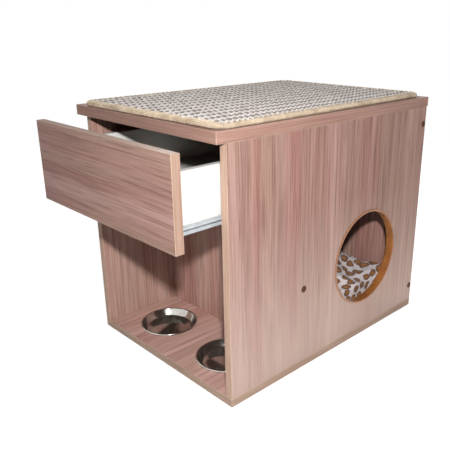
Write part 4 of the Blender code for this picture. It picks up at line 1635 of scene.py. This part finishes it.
@dataclass
class Mat:
    """The woven mat: rows of thick twisted cord on a dark ground, bound with cream yarn."""

    shop: Workshop
    width: float = 0.368
    depth: float = 0.532
    skew: float = math.radians(1.2)
    corner: float = 0.024
    binding: float = 0.0042
    ground: float = 0.0050
    play: float = 0.0006
    rows: int = 14
    ridge: Cord = Cord(0.0, (0.0030, 0.0013), 0.0052)
    valley: Cord = Cord(0.5, (0.0026, 0.0008), 0.0050)
    bead: float = 0.0116
    bead_steps: int = 7
    drift: float = 0.0012
    rise: float = 0.0007
    drift_scale: float = 31.0
    rise_scale: float = 2.3
    row_lag: float = 0.13
    end_gap: float = 0.002
    end_slant: float = 0.6
    thread: float = 0.0009
    thread_pitch: float = 0.0019
    turn_steps: int = 10
    core_steps: int = 240
    core_inset: float = 1.3
    swelling: float = 0.16
    swell_scale: float = 170.0
    stitch_pitch: float = 0.0106
    stitch_radius: float = 0.0014
    stitch_slant: float = 0.004
    stitch_steps: int = 5
    stitch_inward: Pair = (0.0005, 0.0105)
    stitch_height: Pair = (0.0054, 0.0026)
    stitch_bow: Pair = (0.25, 0.65)

    def __post_init__(self) -> None:
        """Finds the mat's middle on the top."""
        low, _, middle = corners("mat")
        self.middle = Vector((middle.x, middle.y, low.z))
        self.inner = (self.width - 4 * self.binding - self.play,
                      self.depth - 4 * self.binding - self.play)

    def build(self) -> None:
        """Makes the ground, the cords, the binding and its stitches."""
        light = Yarn("light_yarn", tone(250, 242, 237), tone(210, 197, 190)).make()
        dark = Yarn("dark_yarn", tone(150, 132, 121), tone(92, 78, 70)).make()
        cream = Yarn("cream_yarn", tone(240, 220, 192), tone(158, 131, 102), 1000.0).make()
        weave, binding = Slot.MAT_WEAVE, Slot.BINDING_YARN
        pieces = [
            self.lay("mat_light_cords", self.cords(self.rows, self.ridge), light, weave),
            self.lay("mat_dark_cords", self.cords(self.rows - 1, self.valley), dark, weave),
            self.lay("mat_serging", self.serging(), cream, binding, ["mat_binding"]),
            self.lay("mat_stitches", self.stitches(), cream, binding),
        ]
        slab = self.lay("mat_ground", self.slab(), MatGround().make(), weave, ["mat"])

    def lay(self, name: str, shape: Shape, finish: Material, slot: Slot,
            stands_for: Sequence[str] = ()) -> bpy.types.Object:
        """Turns a shape made about the mat's own middle, lays it on the top and delivers it.

        Args:
            name: The piece's name.
            shape: Its shape.
            finish: Its material.
            slot: The record's material slot.
            stands_for: The nodes that it replaces.

        Returns:
            The piece.
        """
        place = Matrix.Translation(self.middle) @ Matrix.Rotation(self.skew, 4, "Z")
        bmesh.ops.transform(shape, matrix=place, verts=shape.verts)
        return self.shop.deliver(name, shape, finish, CABINET, slot, stands_for)

    def slab(self) -> Shape:
        """The ground with its rounded corners.

        Returns:
            The ground.
        """
        half_x, half_y = self.inner[0] / 2, self.inner[1] / 2
        shape = block((-half_x, -half_y, 0), (half_x, half_y, self.ground))
        upright = edges_along(shape, Axis.Z, self.ground / 2)
        return eased(shape, upright, self.corner - 2 * self.binding, 10)

    def cords(self, count: int, cord: Cord) -> Shape:
        """Rows of two-strand cord that run from the front to the back.

        Args:
            count: The number of rows.
            cord: The kind of cord.

        Returns:
            The cords.
        """
        pitch = self.inner[0] / self.rows
        sideways, upwards = cord.swing
        paths = []
        for row in range(count):
            middle = -self.inner[0] / 2 + pitch * (row + 0.5 + cord.shift)
            short = max(0.0, abs(middle) - (self.width / 2 - self.corner))
            end = self.inner[1] / 2 - self.end_gap - short * self.end_slant
            total = int(2 * end / self.bead * self.bead_steps)
            for strand in (0.0, math.pi):
                path = []
                for step in range(total + 1):
                    y = -end + 2 * end * step / total
                    angle = math.pi * (y / self.bead + self.row_lag * row) + strand
                    spot = Vector((middle * self.drift_scale, y * self.drift_scale, strand))
                    drift = noise.noise(spot) * self.drift
                    rise = noise.noise(spot * self.rise_scale) * self.rise
                    path.append(Vector((middle + drift + sideways * math.cos(angle), y,
                                        cord.height + rise + upwards * math.sin(angle))))
                paths.append(path)
        return tubes(paths, cord.radius)

    def on_edge(self, distance: float) -> tuple[Vector, Vector]:
        """A point on the middle line of the binding, round the mat.

        Args:
            distance: How far along the line, from the right side's front end.

        Returns:
            The point, and the direction out of the mat there.
        """
        radius = self.corner - self.binding
        half = (self.width / 2 - self.corner, self.depth / 2 - self.corner)
        arc = radius * math.pi / 2
        distance %= self.edge_length()
        for quarter in range(4):
            out = Vector((math.cos(quarter * math.pi / 2), math.sin(quarter * math.pi / 2), 0))
            ahead = Vector((-out.y, out.x, 0))
            run = 2 * half[1 - quarter % 2]
            side = out * (half[quarter % 2] + radius)
            if distance <= run:
                return side + ahead * (distance - run / 2), out
            distance -= run
            if distance <= arc:
                turn = distance / radius
                bend = out * math.cos(turn) + ahead * math.sin(turn)
                return out * half[quarter % 2] + ahead * run / 2 + bend * radius, bend
            distance -= arc
        return side, out

    def edge_length(self) -> float:
        """The length of the binding's middle line."""
        straight = 2 * (self.width + self.depth - 4 * self.corner)
        return straight + math.tau * (self.corner - self.binding)

    def serging(self) -> Shape:
        """Yarn wound closely round the edge over a core.

        Returns:
            The yarn and the core.
        """
        total = self.edge_length()
        count = round(total / self.thread_pitch) * self.turn_steps
        reach = self.binding - self.thread
        up = Axis.Z.unit()
        winding = []
        for step in range(count):
            point, out = self.on_edge(total * step / count)
            angle = math.tau * step / self.turn_steps
            swell = 1 + self.swelling * noise.noise(point * self.swell_scale)
            ring = out * math.cos(angle) + up * math.sin(angle)
            winding.append(point + up * self.binding + ring * reach * swell)
        core = [self.on_edge(total * step / self.core_steps)[0] + up * self.binding
                for step in range(self.core_steps)]
        return joined([tubes([winding], self.thread, cyclic=True),
                       tubes([core], self.binding - self.core_inset * self.thread, 8, cyclic=True)])

    def stitches(self) -> Shape:
        """Slanted stitches that tie the binding to the mat.

        Returns:
            The stitches.
        """
        total = self.edge_length()
        count = round(total / self.stitch_pitch)
        near, inward = self.stitch_inward
        base, rise = self.stitch_height
        first, bow = self.stitch_bow
        paths = []
        for stitch in range(count):
            start = total * stitch / count
            path = []
            for step in range(self.stitch_steps + 1):
                share = step / self.stitch_steps
                point, out = self.on_edge(start + self.stitch_slant * share)
                height = base + rise * math.sin(math.pi * (first + bow * share))
                path.append(point - out * (near + inward * share) + Vector((0, 0, height)))
            paths.append(path)
        return tubes(paths, self.stitch_radius)


@dataclass
class Cushion:
    """The plump plush cushion that fills the floor of the sleeping room."""

    shop: Workshop
    gap: float = 0.009
    edge_height: float = 0.070
    crown_height: float = 0.082
    headroom: float = 0.016
    pull: float = 0.008
    belly: float = 0.004
    cuts: tuple[int, int] = (23, 5)
    voxel: float = 0.005
    pressure: float = 4.0
    frames: int = 20
    cap: float = 0.008
    clearance: float = 0.0025
    hollows: tuple[Pair, ...] = ((0.0100, 15.0), (0.0080, 33.0))
    crease_depth: float = 0.0045
    crease_scale: tuple[float, float, float] = (9, 26, 0)
    crease_level: tuple[float, float, float] = (0, 0, 3.7)
    crease_sharpness: int = 5
    fold_depth: float = 0.0035
    fold_scale: tuple[float, float, float] = (8, 8, 60)
    side_share: float = 0.3
    seam_radius: float = 0.0016
    seam_play: float = 0.001
    seam_reach: float = 0.5
    seam_share: float = 0.52
    seam_steps: int = 180

    def __post_init__(self) -> None:
        """Reads the space between the boards round the cushion."""
        self.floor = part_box("cushion")[0][2]
        self.low = Vector((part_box("side_panel_left")[1][0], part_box("divider_panel")[1][1],
                           self.floor))
        self.high = Vector((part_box("side_panel_right")[0][0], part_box("back_panel")[0][1],
                            self.floor + self.crown_height + self.headroom))
        self.middle = (self.low + self.high) / 2

    def build(self) -> None:
        """Forms, inflates and finishes the cushion, and sews a welt round it."""
        shape = settled(self.form(), [("REMESH", {"mode": "VOXEL", "voxel_size": self.voxel})])
        shape = self.inflated(shape)
        self.rumple(shape)
        welt = self.welt(shape)
        shape = settled(shape, [("SUBSURF", {"levels": 1, "render_levels": 1})])
        top = Vector((self.middle.x, self.middle.y, self.floor + self.crown_height))
        piece = self.shop.deliver("plush_cushion", shape, SpottedPlush(top).make(), CABINET,
                                  Slot.PLUSH, ["cushion"], crease=180.0)
        cord = Yarn("welt_yarn", tone(232, 222, 210), tone(196, 182, 168)).make()
        self.shop.deliver("cushion_welt", welt, cord, CABINET, Slot.PLUSH)

    def form(self) -> Shape:
        """A crowned block whose sides are drawn in between its corners.

        Returns:
            The closed form, with faces of an even size.
        """
        shape = bmesh.new()
        bmesh.ops.create_cube(shape, size=2)
        across_cuts, upright_cuts = self.cuts
        upright = edges_along(shape, Axis.Z, 1)
        level = [edge for edge in shape.edges if edge not in upright]
        bmesh.ops.subdivide_edges(shape, edges=level, cuts=across_cuts, use_grid_fill=True)
        bmesh.ops.subdivide_edges(shape, edges=edges_along(shape, Axis.Z, 1), cuts=upright_cuts,
                                  use_grid_fill=True)
        half_x = (self.high.x - self.low.x) / 2 - self.gap
        half_y = (self.high.y - self.low.y) / 2 - self.gap
        for vert in shape.verts:
            across, along, up = vert.co
            swell = (1 - across ** 4) * (1 - along ** 4)
            height = self.edge_height + (self.crown_height - self.edge_height) * swell
            belly = self.belly * (1 - up ** 2)
            drawn_x = self.pull * (1 - along ** 2) * abs(across)
            drawn_y = self.pull * (1 - across ** 2) * abs(along)
            vert.co = (self.middle.x + across * (half_x - drawn_x + belly),
                       self.middle.y + along * (half_y - drawn_y + belly),
                       self.floor + (up + 1) / 2 * height)
        return shape

    def inflated(self, shape: Shape) -> Shape:
        """Blows the form up as cloth, with each point's travel capped.

        Args:
            shape: The form, with faces of an even size.

        Returns:
            The inflated form.
        """
        start = [vert.co.copy() for vert in shape.verts]
        body = linked("blown", as_mesh(shape, "blown"))
        cloth = body.modifiers.new("cloth", "CLOTH")
        cloth.settings.use_pressure = True
        cloth.settings.uniform_pressure_force = self.pressure
        cloth.settings.effector_weights.gravity = 0.0
        cloth.point_cache.frame_start, cloth.point_cache.frame_end = 1, self.frames
        for frame in range(1, self.frames + 1):
            bpy.context.scene.frame_set(frame)
        result = evaluated(body)
        bpy.context.scene.frame_set(1)
        for vert, before in zip(result.verts, start):
            travel = vert.co - before
            if travel.length > self.cap:
                vert.co = before + travel.normalized() * self.cap
        return result

    def rumple(self, shape: Shape) -> None:
        """Adds soft hollows, creases and folds and keeps every point inside the room.

        Args:
            shape: The cushion's shape, which is changed.
        """
        shape.normal_update()
        for vert in shape.verts:
            up = max(0.0, vert.normal.z)
            spot = vert.co.copy()
            hollow = sum(depth * noise.noise(spot * scale) for depth, scale in self.hollows)
            flat = spot * Vector(self.crease_scale) + Vector(self.crease_level)
            crease = self.crease_depth * (1 - abs(noise.noise(flat))) ** self.crease_sharpness
            fold = noise.noise(spot * Vector(self.fold_scale))
            top_share = self.side_share + (1 - self.side_share) * up
            vert.co += vert.normal * ((hollow - crease) * top_share
                                      + self.fold_depth * fold * (1 - up))
            vert.co.x, vert.co.y = self.within(vert.co, self.clearance)
            vert.co.z = held(vert.co.z, self.low.z, self.high.z)

    def within(self, point: Vector, spare: float) -> Pair:
        """A point's X and Y, kept clear of the room's walls."""
        return (held(point.x, self.low.x + spare, self.high.x - spare),
                held(point.y, self.low.y + spare, self.high.y - spare))

    def welt(self, shape: Shape) -> Shape:
        """A thin cord sewn round the cushion's side.

        Args:
            shape: The cushion's shape.

        Returns:
            The cord.
        """
        tree = BVHTree.FromBMesh(shape)
        height = self.floor + self.edge_height * self.seam_share
        path = []
        for step in range(self.seam_steps):
            angle = math.tau * step / self.seam_steps
            ray = Vector((math.cos(angle), math.sin(angle), 0))
            far = Vector((self.middle.x, self.middle.y, height)) + ray * self.seam_reach
            found = tree.ray_cast(far, -ray)[0]
            if found is not None:
                spare = self.seam_radius + self.seam_play
                path.append(Vector((*self.within(found, spare), height)))
        return tubes([path], self.seam_radius, 8, cyclic=True)


def main() -> None:
    """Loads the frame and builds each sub-assembly in order."""
    logging.basicConfig(level=logging.INFO, format="%(message)s")
    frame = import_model()
    shop = Workshop(frame["nodes"])
    StudioSet().build()
    for assembly in (Carcass(shop), Entrance(shop), Dishes(shop), DrawerBox(shop),
                     Fasteners(shop, ZINC_PLATE.make(), CAP_PLASTIC.make()),
                     Slides(shop, WHITE_ENAMEL.make(), MILKY_NYLON.make()), Mat(shop),
                     Cushion(shop)):
        assembly.build()
    bpy.context.scene.view_settings.view_transform = "Standard"


if __name__ == "__main__":
    main()
